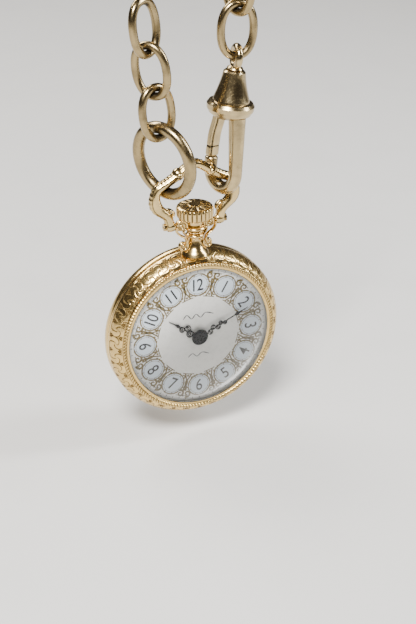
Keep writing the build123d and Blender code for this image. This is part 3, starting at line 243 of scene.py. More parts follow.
CASE_GOLD = aged_metal("case_gold", (0.74, 0.52, 0.20), (0.10, 0.055, 0.015), 0.19, 0.16, 0.18)
back_outer = smooth_line(((11.4, 0.0), (12.6, 0.16), (13.6, 0.62), (14.5, 1.35), (15.0, 2.3)), 24)
back_inner = smooth_line(((13.95, 2.3), (13.1, 1.15), (11.4, 0.6)), 12)
back_profile = np.vstack([
    [(0.05, 0.0), (4, 0.0), (8, 0.0), (11.0, 0.0)], back_outer, [(15.0, 3.1), (14.95, 3.3), (14.8, 3.4), (13.97, 3.4)],
    back_inner, [(8, 0.6), (0.05, 0.6)],
])
make_piece("back_shell", [turned(back_profile)], CASE_GOLD, "back", stands_for=("back_cover",))

# ---------------------------------------------------------------------------------------------
# Case middle. The gold-plated body of the case, with a convex front band engraved all round with
# curling leaves; the cuts are darkened, partly as brown-black wax and partly as painted shade, and
# the raised leaves are polished by wear.
# ---------------------------------------------------------------------------------------------
BAND_CELLS = 36
BAND_RELIEF = 0.06


def leaf_scroll(turn, across):
    """Height from 0 to 1 of a running scroll: in each cell a spiral of polished leaves parted by thin cuts, turning
    the other way in the next cell, on a punched ground between two plain border lines."""
    cell = turn / (2 * pi) * BAND_CELLS
    number = np.floor(cell)
    way = np.where(number % 2 == 0, 1.0, -1.0)
    p = (cell - number - 0.5) * 2
    q = across * 2 - 1
    reach = np.hypot(p * 0.9, q * 0.9)
    angle = np.arctan2(q, p * way)
    cut = np.exp(-((np.abs(np.sin(1.5 * angle + 3.6 * reach)) / 0.24) ** 2))
    vein = 0.5 + 0.5 * np.cos(22 * angle + 16 * reach)
    leaf = 1 - 0.95 * cut - 0.26 * vein * (1 - cut)
    ground = np.clip((reach - 0.86 - 0.12 * np.cos(6 * angle)) / 0.09, 0, 1)
    punched = 0.3 + 0.3 * np.cos(22 * p) * np.cos(16 * q)
    border = np.clip((np.abs(q) - 0.88) / 0.05, 0, 1)
    return np.clip(np.maximum(leaf * (1 - ground) + punched * ground, border), 0, 1)


band_turns = np.linspace(0, 2 * pi, 2401)[:-1]
band_line = smooth_line(((15.0, 4.2), (14.86, 4.85), (14.35, 5.75), (13.9, 6.25), (13.42, 6.53)), 26)
plain_low = np.array([(12.75, 2.45), (13.9, 2.45), (13.9, 3.52), (14.7, 3.52), (14.86, 3.62), (15.0, 3.85), (15.0, 4.02)])
plain_high = np.array([(13.4, 6.5), (13.4, 5.9), (12.75, 5.9)])
step_along = np.gradient(band_line, axis=0)
outward = np.stack([-step_along[:, 1], step_along[:, 0]], -1) * -1
outward /= np.linalg.norm(outward, axis=1, keepdims=True)
across = np.linspace(0, 1, len(band_line))[:, None]
band_height = leaf_scroll(band_turns[None, :], across)
band_rd = band_line[:, None, :] - outward[:, None, :] * (BAND_RELIEF * (1 - band_height))[..., None]
r, d = band_rd[..., 0], band_rd[..., 1]
band_points = np.stack([r * np.cos(band_turns), -d, r * np.sin(band_turns)], -1)
low_part, high_part = (
    np.stack([p[:, :1] * np.cos(band_turns), -p[:, 1:] + 0 * band_turns, p[:, :1] * np.sin(band_turns)], -1)
    for p in (plain_low, plain_high)
)
middle_points = np.concatenate([low_part, band_points, high_part])
# Darkening of the engraved cuts and the punched ground: partly brown-black wax, partly painted shade.
middle_shade = np.concatenate([np.zeros((len(plain_low), len(band_turns))), np.clip(1.15 * (1 - band_height) ** 1.2, 0, 1),
                               np.zeros((len(plain_high), len(band_turns)))])
# Painted shade on the step where the case middle meets the back cover's rim.
middle_shade[2:5] = 0.9
make_piece("case_body", [grid_part(middle_points, True, True, recess=middle_shade)], CASE_GOLD, "watch_case",
           60, ("case_middle",))

# ---------------------------------------------------------------------------------------------
# Bezel. A bright gold ring pressed into the front, with a twisted rope bead round its crest and a
# smooth slope down to the glass.
# ---------------------------------------------------------------------------------------------
ROPE_TURNS = 150
rope_turns = np.linspace(0, 2 * pi, 2401)[:-1]
bezel_line = np.vstack([
    [(13.38, 5.95), (13.38, 6.35)],
    smooth_line(((13.38, 6.5), (13.33, 6.8), (13.05, 6.98), (12.8, 6.88), (12.7, 6.72)), 16),
    [(12.64, 6.7), (12.45, 6.76), (12.27, 6.72), (12.26, 6.69), (12.75, 6.68), (12.75, 5.95)],
])
bead = np.zeros(len(bezel_line))
bead[2:18] = np.sin(np.linspace(0.15, pi - 0.15, 16))
slant = np.linspace(-1, 1, len(bezel_line))[:, None]
twist = 0.5 + 0.5 * np.cos(ROPE_TURNS * rope_turns[None, :] + 9 * slant)
sink = 0.14 * bead[:, None] * (1 - twist**0.7)
r = bezel_line[:, :1] - sink * 0.15
d = bezel_line[:, 1:] - sink
bezel_points = np.stack([r * np.cos(rope_turns), -d + 0 * r, r * np.sin(rope_turns)], -1)
# The hollows of the rope twist are darkened as painted shade.
make_piece("bezel_ring", [grid_part(bezel_points, True, True, recess=bead[:, None] * (1 - twist) * 0.75)], CASE_GOLD,
           "watch_case", 60, ("bezel",))

# ---------------------------------------------------------------------------------------------
# Crystal. Clear domed glass with a polished flange held under the bezel's lip.
# ---------------------------------------------------------------------------------------------
glass = bpy.data.materials.new("watch_glass")
glass.use_nodes = True
tree = glass.node_tree
shader = tree.nodes["Principled BSDF"]
shader.inputs["Metallic"].default_value = 1.0
shader.inputs["Base Color"].default_value = (0.96, 0.98, 1.0, 1)
grazing = tree.nodes.new("ShaderNodeFresnel")
grazing.inputs["IOR"].default_value = 1.24
smear = noise(tree, tree.nodes.new("ShaderNodeTexCoord").outputs["Object"], 260.0)
link(tree, stretch(tree, smear, 0.4, 0.7, 0.03, 0.09), shader.inputs["Roughness"])
link(tree, calc(tree, "ADD", grazing.outputs[0], stretch(tree, smear, 0.55, 0.8, 0.0, 0.008), True), shader.inputs["Alpha"])
dome_out = smooth_line(((12.2, 6.8), (10.2, 7.45), (7.5, 8.06), (4.0, 8.46), (0.05, 8.6)), 30)
dome_in = smooth_line(((0.05, 7.9), (4.0, 7.76), (7.2, 7.42), (10.0, 6.9), (11.5, 6.5)), 30)
crystal_line = np.vstack([[(12.71, 6.28), (12.71, 6.64), (12.2, 6.64)], dome_out, dome_in, [(11.5, 6.28)]])
make_piece("crystal_dome", [turned(crystal_line)], glass, "watch_case", stands_for=("crystal",))

# ---------------------------------------------------------------------------------------------
# Dial. A thin enamelled disc, off-white, printed with fine ticks and scrolls; twelve domed pale
# cartouches carry the numbers, with olive-brown outlines ending in dots.
# ---------------------------------------------------------------------------------------------
DIAL_DEPTH = 6.2
NUMERAL_R = 9.4
CARTOUCHE_R = 1.9


def printed(name, color, rough, fleck_scale, fleck_color, fleck_share, hatch=0.0):
    """Enamel or ink: a base colour broken by fine flecks, with a soft gloss and a slight orange-peel bump."""
    m = bpy.data.materials.new(name)
    m.use_nodes = True
    t = m.node_tree
    s = t.nodes["Principled BSDF"]
    where = t.nodes.new("ShaderNodeTexCoord").outputs["Object"]
    fleck = stretch(t, noise(t, where, fleck_scale), 1 - fleck_share, 1.0)
    if hatch:
        wave = t.nodes.new("ShaderNodeTexWave")
        wave.inputs["Scale"].default_value = hatch
        wave.inputs["Distortion"].default_value = 1.5
        wave.bands_direction = "DIAGONAL"
        link(t, where, wave.inputs["Vector"])
        fleck = calc(t, "MAXIMUM", fleck, calc(t, "MULTIPLY", wave.outputs["Fac"], 0.75))
    link(t, mixed(t, fleck, color, fleck_color), s.inputs["Base Color"])
    link(t, stretch(t, noise(t, where, 900.0), 0.3, 0.7, rough, rough + 0.12), s.inputs["Roughness"])
    bump = t.nodes.new("ShaderNodeBump")
    bump.inputs["Distance"].default_value = 0.00001
    bump.inputs["Strength"].default_value = 0.15
    link(t, noise(t, where, 2600.0), bump.inputs["Height"])
    link(t, bump.outputs["Normal"], s.inputs["Normal"])
    return m


ENAMEL = printed("dial_enamel", (0.86, 0.855, 0.82), 0.28, 1400.0, (0.7, 0.7, 0.66), 0.5)
PALE_BLUE = printed("cartouche_enamel", (0.80, 0.87, 0.93), 0.3, 2400.0, (0.5, 0.6, 0.72), 0.42, 3200.0)
OLIVE_INK = printed("olive_ink", (0.16, 0.115, 0.04), 0.35, 3000.0, (0.3, 0.24, 0.1), 0.5)
BLACK_INK = printed("black_ink", (0.012, 0.012, 0.016), 0.3, 3000.0, (0.05, 0.05, 0.06), 0.4)
dial_line = np.array([(0.82, 5.88), (12.58, 5.88), (12.6, 6.0), (12.58, 6.2), (12.0, 6.2), (7.3, 6.2), (0.86, 6.2), (0.8, 6.16)])


def raised_disc(x, z, radius_x, radius_z, low, high, turn=0.0):
    """A low dome with an oval outline: its height falls as one minus the sixth power of the share of radius."""
    share = np.array([1.0, 1.0, 0.97, 0.9, 0.7, 0.4, 0.05])[:, None]
    rise = np.array([0.0, 0.35, 0.6, 0.78, 0.93, 1.0, 1.0])[:, None] * (high - low)
    a = np.linspace(0, 2 * pi, 61)[:-1]
    px, pz = share * radius_x * np.cos(a), share * radius_z * np.sin(a)
    c, s = cos(turn), sin(turn)
    flat = np.stack([x + px * c - pz * s, -(low + rise) + 0 * px, z + px * s + pz * c], -1)
    return grid_part(flat, False, True, caps=True)


def strip(path, width, low, high):
    """A printed line: a flat band of the given half widths along a 2-D path, with a thin body."""
    p = np.asarray(path, float)
    w = np.broadcast_to(np.asarray(width, float), (len(p),))[:, None]
    run = np.gradient(p, axis=0)
    side = np.stack([-run[:, 1], run[:, 0]], -1) / (np.linalg.norm(run, axis=1, keepdims=True) + 1e-9)
    left, right = p + side * w, p - side * w
    corners = [(left, low), (left, high), (right, high), (right, low)]
    ring = np.stack([np.stack([q[:, 0], np.full(len(p), -h), q[:, 1]], -1) for q, h in corners], 1)
    return grid_part(ring, False, True, caps=True)


def polar(radius, clock):
    """A 2-D point at a radius and a clock angle in degrees."""
    a = np.radians(clock)
    return np.stack([radius * np.sin(a), radius * np.cos(a)], -1)


def spiral(x, z, start, end, first, last, count=40):
    """A 2-D spiral about a point: the radius runs from start to end as the angle runs from first to last degrees."""
    t = np.linspace(0, 1, count)
    a = np.radians(first + (last - first) * t)
    reach = start + (end - start) * t
    return np.stack([x + reach * np.cos(a), z + reach * np.sin(a)], -1)


INK_LOW, INK_HIGH = 6.19, 6.222
plates, blue, olive, black = [turned(dial_line)], [], [], []
for hour in range(12):
    clock = 30.0 * hour
    x, z = polar(NUMERAL_R, clock)
    turn = -radians(clock)
    blue.append(raised_disc(x, z, CARTOUCHE_R, CARTOUCHE_R, 6.19, 6.255))
    ring = np.radians(np.linspace(0, 360, 73))
    for radius, half in ((1.96, 0.115), (1.62, 0.028)):
        gaps = 1 - 0.75 * np.exp(-((np.sin(2 * ring) / 0.16) ** 2)) * (radius > 1.9)
        olive.append(strip(np.stack([x + radius * np.cos(ring - turn), z + radius * np.sin(ring - turn)], -1), half * gaps,
                           INK_LOW, 6.262))
    for k in range(8):
        spot = turn + pi / 8 + k * pi / 4
        olive.append(raised_disc(x + 1.72 * cos(spot), z + 1.72 * sin(spot), 0.085, 0.085, INK_LOW, 6.268))
    for side in (-1, 1):
        bx, bz = polar(NUMERAL_R + 1.85, clock + side * 3.4)
        olive.append(raised_disc(bx, bz, 0.17, 0.17, INK_LOW, 6.25))
        bx, bz = polar(NUMERAL_R - 1.98, clock + side * 3.2)
        olive.append(raised_disc(bx, bz, 0.14, 0.14, INK_LOW, 6.25))
    between = clock + 15
    corner = [polar(7.2, between - 4.5), polar(8.3, between - 0.6), polar(8.3, between + 0.6), polar(7.2, between + 4.5)]
    olive.append(strip(smooth_line(corner, 40), 0.12, INK_LOW, INK_HIGH))
    olive.append(strip(polar(7.2, np.linspace(between - 8, between + 8, 24)), 0.075, INK_LOW, INK_HIGH))
    olive.append(raised_disc(*polar(7.55, between), 0.2, 0.2, INK_LOW, 6.24))
    olive.append(strip([polar(8.25, between), polar(8.9, between), polar(9.9, between)], (0.16, 0.3, 0.05), INK_LOW, INK_HIGH))
    olive.append(strip(polar(11.3, np.linspace(between - 7, between + 7, 24)), 0.06, INK_LOW, INK_HIGH))
    for side in (-1, 1):
        cx, cz = polar(10.95, between + side * 3.3)
        first = 90 - between + (200 if side > 0 else -20)
        olive.append(strip(spiral(cx, cz, 0.66, 0.1, first, first - side * 430), np.linspace(0.2, 0.09, 40), INK_LOW, INK_HIGH))
        ix, iz = polar(7.85, between + side * 6.4)
        olive.append(strip(spiral(ix, iz, 0.4, 0.08, first + 180, first + 180 + side * 380), np.linspace(0.13, 0.06, 40),
                           INK_LOW, INK_HIGH))
        tail = [polar(10.4, between + side * 0.8), polar(9.7, between + side * 1.1), polar(9.1, between)]
        olive.append(strip(smooth_line(tail, 20), np.linspace(0.2, 0.07, 20), INK_LOW, INK_HIGH))
        dx, dz = polar(9.75, between + side * 2.6)
        olive.append(raised_disc(dx, dz, 0.12, 0.12, INK_LOW, 6.24))
    dx, dz = polar(11.35, between)
    olive.append(raised_disc(dx, dz, 0.16, 0.16, INK_LOW, 6.24))
    for k in range(5):
        tick = clock + 6 * k
        black.append(strip([polar(11.62, tick), polar(11.95, tick)], 0.055 if k == 0 else 0.03, INK_LOW, INK_HIGH))
flourish = smooth_line(((-2.7, 3.5), (-2.0, 4.15), (-1.2, 3.35), (-0.4, 4.05), (0.4, 3.35), (1.3, 4.05), (2.7, 3.6)), 70)
black.append(strip(flourish, 0.045 + 0.04 * np.sin(np.linspace(0, 6 * pi, 70)) ** 2, INK_LOW, INK_HIGH))
flourish = smooth_line(((-1.9, -3.75), (-1.1, -3.25), (-0.3, -3.85), (0.6, -3.3), (1.8, -3.75)), 50)
black.append(strip(flourish, 0.04 + 0.03 * np.sin(np.linspace(0, 4 * pi, 50)) ** 2, INK_LOW, INK_HIGH))
make_piece("dial_plate", plates, ENAMEL, "watch_case", stands_for=("dial",))
make_piece("dial_cartouches", blue, PALE_BLUE, "watch_case", 80)
make_piece("dial_scrolls", olive, OLIVE_INK, "watch_case", 50)
make_piece("dial_ticks", black, BLACK_INK, "watch_case", 50)

for hour in range(1, 13):
    letters = bpy.data.curves.new(f"number_{hour}", "FONT")
    letters.body = str(hour)
    letters.size, letters.extrude, letters.align_x, letters.align_y = 3.05, 0.012, "CENTER", "CENTER"
    letters.space_character = 0.88
    letters.offset = 0.022
    maker = bpy.data.objects.new(f"number_maker_{hour}", letters)
    bpy.context.scene.collection.objects.link(maker)
    bpy.context.view_layer.update()
    mesh = bpy.data.meshes.new_from_object(maker.evaluated_get(bpy.context.evaluated_depsgraph_get()))
    bpy.data.objects.remove(maker)
    co = np.empty(len(mesh.vertices) * 3)
    mesh.vertices.foreach_get("co", co)
    co = co.reshape(-1, 3)
    co[:, :2] -= (co[:, :2].max(0) + co[:, :2].min(0)) / 2
    co[:, 0] *= 0.82
    lean = -radians(30 * hour) + (pi if hour in (4, 5, 6, 7, 8) else 0)
    x, z = polar(NUMERAL_R, 30 * hour)
    flat = np.stack([x + co[:, 0] * cos(lean) - co[:, 1] * sin(lean), -6.262 - co[:, 2],
                     z + co[:, 0] * sin(lean) + co[:, 1] * cos(lean)], -1)
    mesh.vertices.foreach_set("co", (flat * MM).reshape(-1))
    mesh.name = f"number_{hour}"
    number = bpy.data.objects.new(f"number_{hour}", mesh)
    bpy.context.scene.collection.objects.link(number)
    turn_outwards(mesh)
    mesh.materials.clear()
    mesh.materials.append(BLACK_INK)
    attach(number, "watch_case")

# ---------------------------------------------------------------------------------------------
# Hands. Pierced steel, black-lacquered: scrolling loops on each side of a thin spine, a small
# diamond, and a needle tip. The minute hand's boss is a glossy dome over the cannon pinion.
# ---------------------------------------------------------------------------------------------
LACQUER = printed("hand_lacquer", (0.003, 0.003, 0.004), 0.08, 2500.0, (0.02, 0.02, 0.024), 0.35)
LACQUER.node_tree.nodes["Principled BSDF"].inputs["Specular IOR Level"].default_value = 0.12


def aimed(path, clock):
    """Turns a path drawn with the hand pointing up so that it points at a clock angle."""
    a = radians(clock)
    p = np.asarray(path, float)
    return np.stack([p[:, 0] * cos(a) + p[:, 1] * sin(a), -p[:, 0] * sin(a) + p[:, 1] * cos(a)], -1)


def scroll_hand(loops, wave_end, tip, diamond, clock, low, high):
    """A serpentine of loops about a spine: x = loop radius x sin, with closed rings at each bend, then a needle."""
    parts = []
    for side, y, radius in loops:
        a = np.radians(np.linspace(0, 360, 49))
        ring = np.stack([side * radius * 0.62 + radius * np.cos(a), y + radius * np.sin(a)], -1)
        parts.append(strip(aimed(ring, clock), 0.07, low, high))
        curl = spiral(side * radius * 0.62, y, radius * 0.62, 0.06, 90, 90 - side * 400)
        parts.append(strip(aimed(curl, clock), np.linspace(0.06, 0.03, 40), low, high))
    y = np.linspace(0.9, wave_end, 60)
    spine = np.stack([0.16 * np.sin((y - 0.9) / (wave_end - 0.9) * pi * len(loops)), y], -1)
    parts.append(strip(aimed(spine, clock), 0.075, low, high))
    y = np.linspace(wave_end - 0.1, tip, 50)
    bulge = np.interp(y, [wave_end, diamond - 0.55, diamond, diamond + 0.6, tip], [0.08, 0.09, 0.3, 0.1, 0.035])
    parts.append(strip(aimed(np.stack([0 * y, y], -1), clock), bulge, low, high))
    return parts


def collar(inner, outer, low, high):
    """A flat ring about the hands' arbor."""
    return turned(((inner, low), (outer, low), (outer, high), (inner, high)))


hour_parts = scroll_hand(((-1, 1.75, 0.55), (1, 2.65, 0.52), (-1, 3.45, 0.44)), 4.0, 6.5, 4.55, 305.5, 6.38, 6.5)
make_piece("hour_hand_pierced", hour_parts + [collar(0.61, 1.0, 6.38, 6.5)], LACQUER, "hour_group", 40,
           ("hour_hand",))
minute_parts = scroll_hand(((1, 1.95, 0.42), (-1, 2.75, 0.4), (1, 3.5, 0.38), (-1, 4.2, 0.34), (1, 4.85, 0.3)), 5.4, 9.5, 7.4,
                           66.0, 6.75, 6.87)
boss = np.vstack([[(0.38, 6.75), (1.3, 6.76), (1.44, 6.9)], smooth_line(((1.44, 6.9), (1.15, 7.14), (0.6, 7.28), (0.03, 7.32)), 14),
                  [(0.03, 6.98), (0.38, 6.98)]])
make_piece("minute_hand_pierced", minute_parts + [turned(boss)], LACQUER, "minute_group", 40, ("minute_hand",))

# ---------------------------------------------------------------------------------------------
# Pendant neck. A cast gold-plated lyre: a bored column with collar and beads between two pairs of
# scrolls joined by S-shaped ribbons; discs in the hollows are darkened as painted shade. Soldered to the case middle.
# ---------------------------------------------------------------------------------------------
NECK_Y = -5.15
BOW_GOLD = aged_metal("bow_gold", (0.66, 0.49, 0.22), (0.04, 0.026, 0.01), 0.18, 0.35, 0.4)
NECK_GOLD = aged_metal("neck_gold", (0.70, 0.50, 0.21), (0.04, 0.024, 0.01), 0.18, 0.28, 0.3)
ROUND = np.linspace(0, 2 * pi, 33)[:-1]


def tube(path, flat_r, deep_r, ex, ey, origin, closed=False, ring=ROUND, recess=None, bumps=None):
    """A round or oval bar along a plane curve: each section spans the in-plane normal by flat_r and the plane's own
    normal by deep_r. bumps multiplies the radii over (path, ring)."""
    p = np.asarray(path, float)
    n = len(p)
    ex, ey = np.asarray(ex, float), np.asarray(ey, float)
    up = np.cross(ex, ey)
    run = (np.roll(p, -1, 0) - np.roll(p, 1, 0)) if closed else np.gradient(p, axis=0)
    run /= np.linalg.norm(run, axis=1, keepdims=True) + 1e-12
    side = np.stack([run[:, 1], -run[:, 0]], -1)
    fr = np.broadcast_to(np.asarray(flat_r, float), (n,))[:, None]
    dr = np.broadcast_to(np.asarray(deep_r, float), (n,))[:, None]
    k = np.ones((n, len(ring))) if bumps is None else bumps
    a = (fr * np.cos(ring) * k)[..., None]
    b = (dr * np.sin(ring) * k)[..., None]
    flat = p[:, None, :] + side[:, None, :] * a
    points = np.asarray(origin) + flat[..., :1] * ex + flat[..., 1:] * ey + b * up
    return grid_part(points, closed, True, caps=not closed, recess=recess)


def rounded(count, radius, length, ends=(True, True)):
    """Radii along a bar of a given length whose ends close like half balls."""
    t = np.linspace(0, length, count)
    r = np.full(count, float(radius))
    for flag, q in zip(ends, (t, length - t)):
        if flag:
            r = np.minimum(r, radius * np.sqrt(np.clip(1 - (1 - np.clip(q / radius, 0.01, 1)) ** 2, 0.02, 1)))
    return r


def path_length(p):
    """A path's length."""
    return float(np.linalg.norm(np.diff(p, axis=0), axis=1).sum())


def ball(x, y, z, radius, rows=17, recess=0.0):
    """A ball, closed by small caps at its poles."""
    a = np.linspace(0.04, pi - 0.04, rows)[:, None]
    x0 = x + radius * np.sin(a) * np.cos(ROUND)
    y0 = y + radius * np.sin(a) * np.sin(ROUND)
    points = np.stack([x0, y0, z + radius * np.cos(a) + 0 * x0], -1)
    return grid_part(points, False, True, caps=True, recess=np.full(points.shape[:2], recess))


def upright(profile, x=0.0, y=NECK_Y, ring=ROUND, recess=None, bumps=None):
    """A profile of (radius, height) turned about an upright axis; bumps multiplies the radius."""
    r, z = np.asarray(profile, float).T
    k = 1.0 if bumps is None else bumps
    rr = r[:, None] * k * np.ones(len(ring))
    points = np.stack([x + rr * np.cos(ring), y + rr * np.sin(ring), z[:, None] + 0 * rr], -1)
    return grid_part(points, True, True, recess=recess)


def in_front(path, flat_r, deep_r, y=NECK_Y, **more):
    """A bar along a path of (x, z) in the plane of the pendant."""
    return tube(path, flat_r, deep_r, (1, 0, 0), (0, 0, 1), (0, y, 0), **more)


neck_line = np.vstack([
    [(0.72, 14.6)], smooth_line(((2.3, 14.75), (1.95, 15.35), (1.3, 16.1), (0.98, 17.1), (0.95, 17.6)), 16),
    smooth_line(((1.0, 17.7), (1.42, 17.85), (1.5, 18.05), (1.4, 18.25), (1.0, 18.4)), 10),
    smooth_line(((0.98, 18.9), (1.6, 19.1), (1.75, 19.35), (1.5, 19.6), (1.2, 19.75)), 10),
    [(1.3, 19.85), (1.35, 20.2), (1.35, 20.7), (1.28, 20.8), (0.8, 20.8), (0.8, 18.6), (0.72, 18.6)],
])
neck_parts = [upright(neck_line)]
for side in (-1, 1):
    for cx, cz, big, start, sweep in ((2.4, 19.85, 1.0, 200, -620), (2.1, 16.35, 0.82, 140, 560)):
        flat = spiral(0, 0, big, 0.22, start, start + sweep, 90) * (side, 1) + (side * cx, cz)
        thick = np.linspace(0.3, 0.15, 90)
        neck_parts.append(in_front(flat, thick, thick * 1.7))
        neck_parts.append(ball(side * cx, NECK_Y - 0.2, cz, 0.34))
        # A disc fills each scroll's hollow and is darkened as painted shade.
        neck_parts.append(tube([(0, -0.3), (0, 0.3)], big * 0.8, big * 0.8, (1, 0, 0), (0, 1, 0), (side * cx, NECK_Y, cz),
                               recess=np.full((2, 32), 0.55)))
    for ribbon, y in ((((1.5, 19.35), (2.0, 18.75), (1.35, 17.75), (1.25, 17.0), (1.55, 16.6)), NECK_Y),
                      (((3.35, 19.95), (3.3, 19.2), (2.75, 18.5), (2.0, 17.95), (1.62, 17.3), (1.75, 16.6)), NECK_Y - 0.45)):
        neck_parts.append(in_front(smooth_line(ribbon, 40) * (side, 1), np.full(40, 0.2), np.full(40, 0.42), y))
    for z, size in ((18.65, 0.24), (17.4, 0.22)):
        neck_parts.append(ball(side * 0.55, NECK_Y - 0.95, z, size))
for k in range(20):
    a = 2 * pi * k / 20
    neck_parts.append(ball(1.18 * cos(a), NECK_Y + 1.18 * sin(a), 18.66, 0.17, 9))
make_piece("pendant_lyre", neck_parts, NECK_GOLD, "watch_case", 50, ("pendant_neck",))

# ---------------------------------------------------------------------------------------------
# Bow. A cast gold-plated loop that swings on two headed pins: an arch with a polished ridge, two
# shoulder knobs, and C-shaped ears with a curl inside, ending in ball feet.
# ---------------------------------------------------------------------------------------------
bow_half = ((4.3, 20.5), (4.75, 21.9), (6.35, 23.5), (6.75, 25.2), (6.2, 26.75), (4.6, 27.6), (2.7, 28.7))
bow_points = list(bow_half) + [(0, 30.2)] + [(-x, z) for x, z in bow_half[::-1]]
bow_path = smooth_line(bow_points, 260)
bow_length = np.concatenate([[0], np.cumsum(np.linalg.norm(np.diff(bow_path, axis=0), axis=1))])
ridge = 1 + 0.1 * np.cos(2 * ROUND)[None, :] * np.ones((260, 1))
outer_side = np.clip(np.cos(ROUND), 0, 1)[None, :]
beads = 0.5 + 0.5 * np.cos(bow_length[:, None] * 2 * pi / 0.62)
on_back = np.exp(-((ROUND - 0.0) / 0.5) ** 2) + np.exp(-((ROUND - 2 * pi) / 0.5) ** 2)
carve = 0.13 * beads * on_back[None, :]
groove = sum(np.exp(-((ROUND - g) / 0.11) ** 2) for g in (0.75, 2 * pi - 0.75))[None, :]
# Painted shade: the carved beads and the two grooves along the bow are darkened.
bow_shade = np.clip(carve * 6 + groove * 0.9, 0, 1) * np.ones((260, 1))
ear = np.exp(-(((bow_path[:, 1] - 24.0) / 1.5) ** 2))
bow_parts = [in_front(bow_path, 0.7 + 0.26 * ear, 1.0 + 0.12 * ear, recess=bow_shade * 0.85, bumps=ridge - carve - groove * 0.09)]
for side in (-1, 1):
    curl_path = smooth_line(((5.3, 22.6), (4.4, 22.9), (3.7, 22.4), (3.75, 21.9), (4.2, 22.0)), 50) * (side, 1)
    bow_parts.append(in_front(curl_path, np.linspace(0.34, 0.2, 50), np.linspace(0.7, 0.4, 50)))
    bow_parts.append(ball(side * 2.75, NECK_Y, 28.75, 1.02, 25))
    for y in (NECK_Y - 0.72, NECK_Y + 0.72):
        bow_parts.append(ball(side * 2.75, y, 28.75, 0.5))
    foot = [(0.38, 3.55), (0.7, 3.52), (0.86, 3.75), (0.9, 4.2), (0.82, 4.7), (0.62, 4.93), (0.38, 4.93)]
    fr, fx = np.array(foot).T
    fa = fr[:, None] * np.cos(ROUND), fr[:, None] * np.sin(ROUND)
    bow_parts.append(grid_part(np.stack([side * fx[:, None] + 0 * fa[0], NECK_Y + fa[0], 20.1 + fa[1]], -1), True, True))
make_piece("bow_cast", bow_parts, BOW_GOLD, "bow_loop", 50, ("bow",))

# ---------------------------------------------------------------------------------------------
# Crown. A gold-plated winding knob: round-bottomed flutes with bright lands, and a domed top
# stamped with petals round a plain disc; the flute bottoms and the hollows between the petals are
# darkened as painted shade. Screwed on the stem.
# ---------------------------------------------------------------------------------------------
crown_ring = np.linspace(0, 2 * pi, 481)[:-1]
side_line = np.array([(2.5, 21.0), (2.75, 21.12), (2.93, 21.35), (3.0, 21.6), (3.0, 22.1), (3.0, 22.5), (2.95, 22.75), (2.82, 22.93)])
top_line = smooth_line(((2.82, 22.93), (2.55, 23.06), (2.1, 23.14), (1.5, 23.2), (0.98, 23.2), (0.92, 23.29), (0.85, 23.3), (0.05, 23.3)), 46)
crown_line = np.vstack([[(0.42, 21.5), (0.42, 21.0)], side_line, top_line, [(0.05, 21.5)]])
flute = np.abs(np.sin(12 * crown_ring)) ** 0.7
depth = np.interp(crown_line[:, 1], [21.05, 21.3, 22.6, 22.95], [0, 1, 1, 0.15]) * (crown_line[:, 0] > 2.4)
top_mask = np.interp(crown_line[:, 0], [0.95, 1.1, 2.35, 2.6], [0, 1, 1, 0]) * (crown_line[:, 1] > 23.0)
petals = 0.5 + 0.5 * np.cos(12 * crown_ring[None, :] + 0 * crown_line[:, :1])
veins = np.clip(0.5 + 0.5 * np.cos(36 * crown_ring)[None, :] * np.ones_like(crown_line[:, :1]), 0, 1)
rr = crown_line[:, :1] - 0.24 * depth[:, None] * (1 - flute)
zz = crown_line[:, 1:] - top_mask[:, None] * (0.11 * (1 - petals**0.6) + 0.03 * veins)
crown_points = np.stack([rr * np.cos(crown_ring), NECK_Y + rr * np.sin(crown_ring), zz + 0 * rr], -1)
# Painted shade in the flute bottoms and between the petals of the top.
crown_shade = np.clip(depth[:, None] * (1 - flute) * 0.9 + top_mask[:, None] * (1 - petals) * 0.8, 0, 1)
make_piece("crown_fluted", [grid_part(crown_points, True, True, recess=crown_shade)], NECK_GOLD, "crown_and_stem", 50,
           ("crown",))

# ---------------------------------------------------------------------------------------------
# Chain. Round wire bent into round-ended links and brazed shut, and one larger round ring at the
# watch's end; antique-brass plate, satin, with painted shade on the inner side of each wire, darkest
# where links meet.
# ---------------------------------------------------------------------------------------------
CHAIN_BRASS = aged_metal("chain_brass", (0.36, 0.27, 0.135), (0.035, 0.026, 0.016), 0.2, 0.45, 0.5)
LINK_LENGTH, LINK_WIDTH, LINK_WIRE_R, LINK_GAP = 9.4, 6.6, 0.65, 0.06
RING_HALF_W, RING_HALF_H, RING_WIRE_R = 5.1, 5.63, 0.95
LINK_PITCH = LINK_LENGTH - 4 * LINK_WIRE_R - LINK_GAP
LEFT_LOW = 2 * RING_HALF_H - RING_WIRE_R - 2 * LINK_WIRE_R - LINK_GAP
LEFT_STRAND = (-4.3, 25.72, -7.0)
RIGHT_STRAND = (7.1, 45.9, 1.7)


def round_ended(half_w, half_h, power, count=160):
    """A closed superellipse loop: a power of 2 is an oval, more gives straighter sides."""
    a = np.linspace(0, 2 * pi, count + 1)[:-1]
    c, q = np.cos(a), np.sin(a)
    return np.stack([half_w * np.sign(c) * np.abs(c) ** (2 / power), half_h * np.sign(q) * np.abs(q) ** (2 / power)], -1)


def wire_loop(strand, low, yaw, half_w, half_h, wire_r):
    """A closed wire loop on a strand's leaning line, turned about that line; painted shade on the wire's inner side,
    darkest inside its two ends.
    """
    x, z, lean = strand
    a, lean = radians(yaw), radians(lean)
    along = np.array([sin(lean), 0.0, cos(lean)])
    wide = np.array([cos(a) * cos(lean), sin(a), -cos(a) * sin(lean)])
    path = round_ended(half_w, half_h, 2.0 if half_w > 4 else 2.25)
    # Painted shade on the wire's inner side, darkest near the loop's two ends, where links meet.
    ends = np.clip((np.abs(path[:, 1:]) / half_h - 0.72) / 0.25, 0, 1)
    inside = np.clip(-np.cos(ROUND)[None, :], 0, 1)
    centre = np.array([x, NECK_Y, z]) + (low + half_h + wire_r) * along
    return tube(path, wire_r, wire_r, wide, along, centre, True, recess=(0.8 * ends + 0.3) * inside)


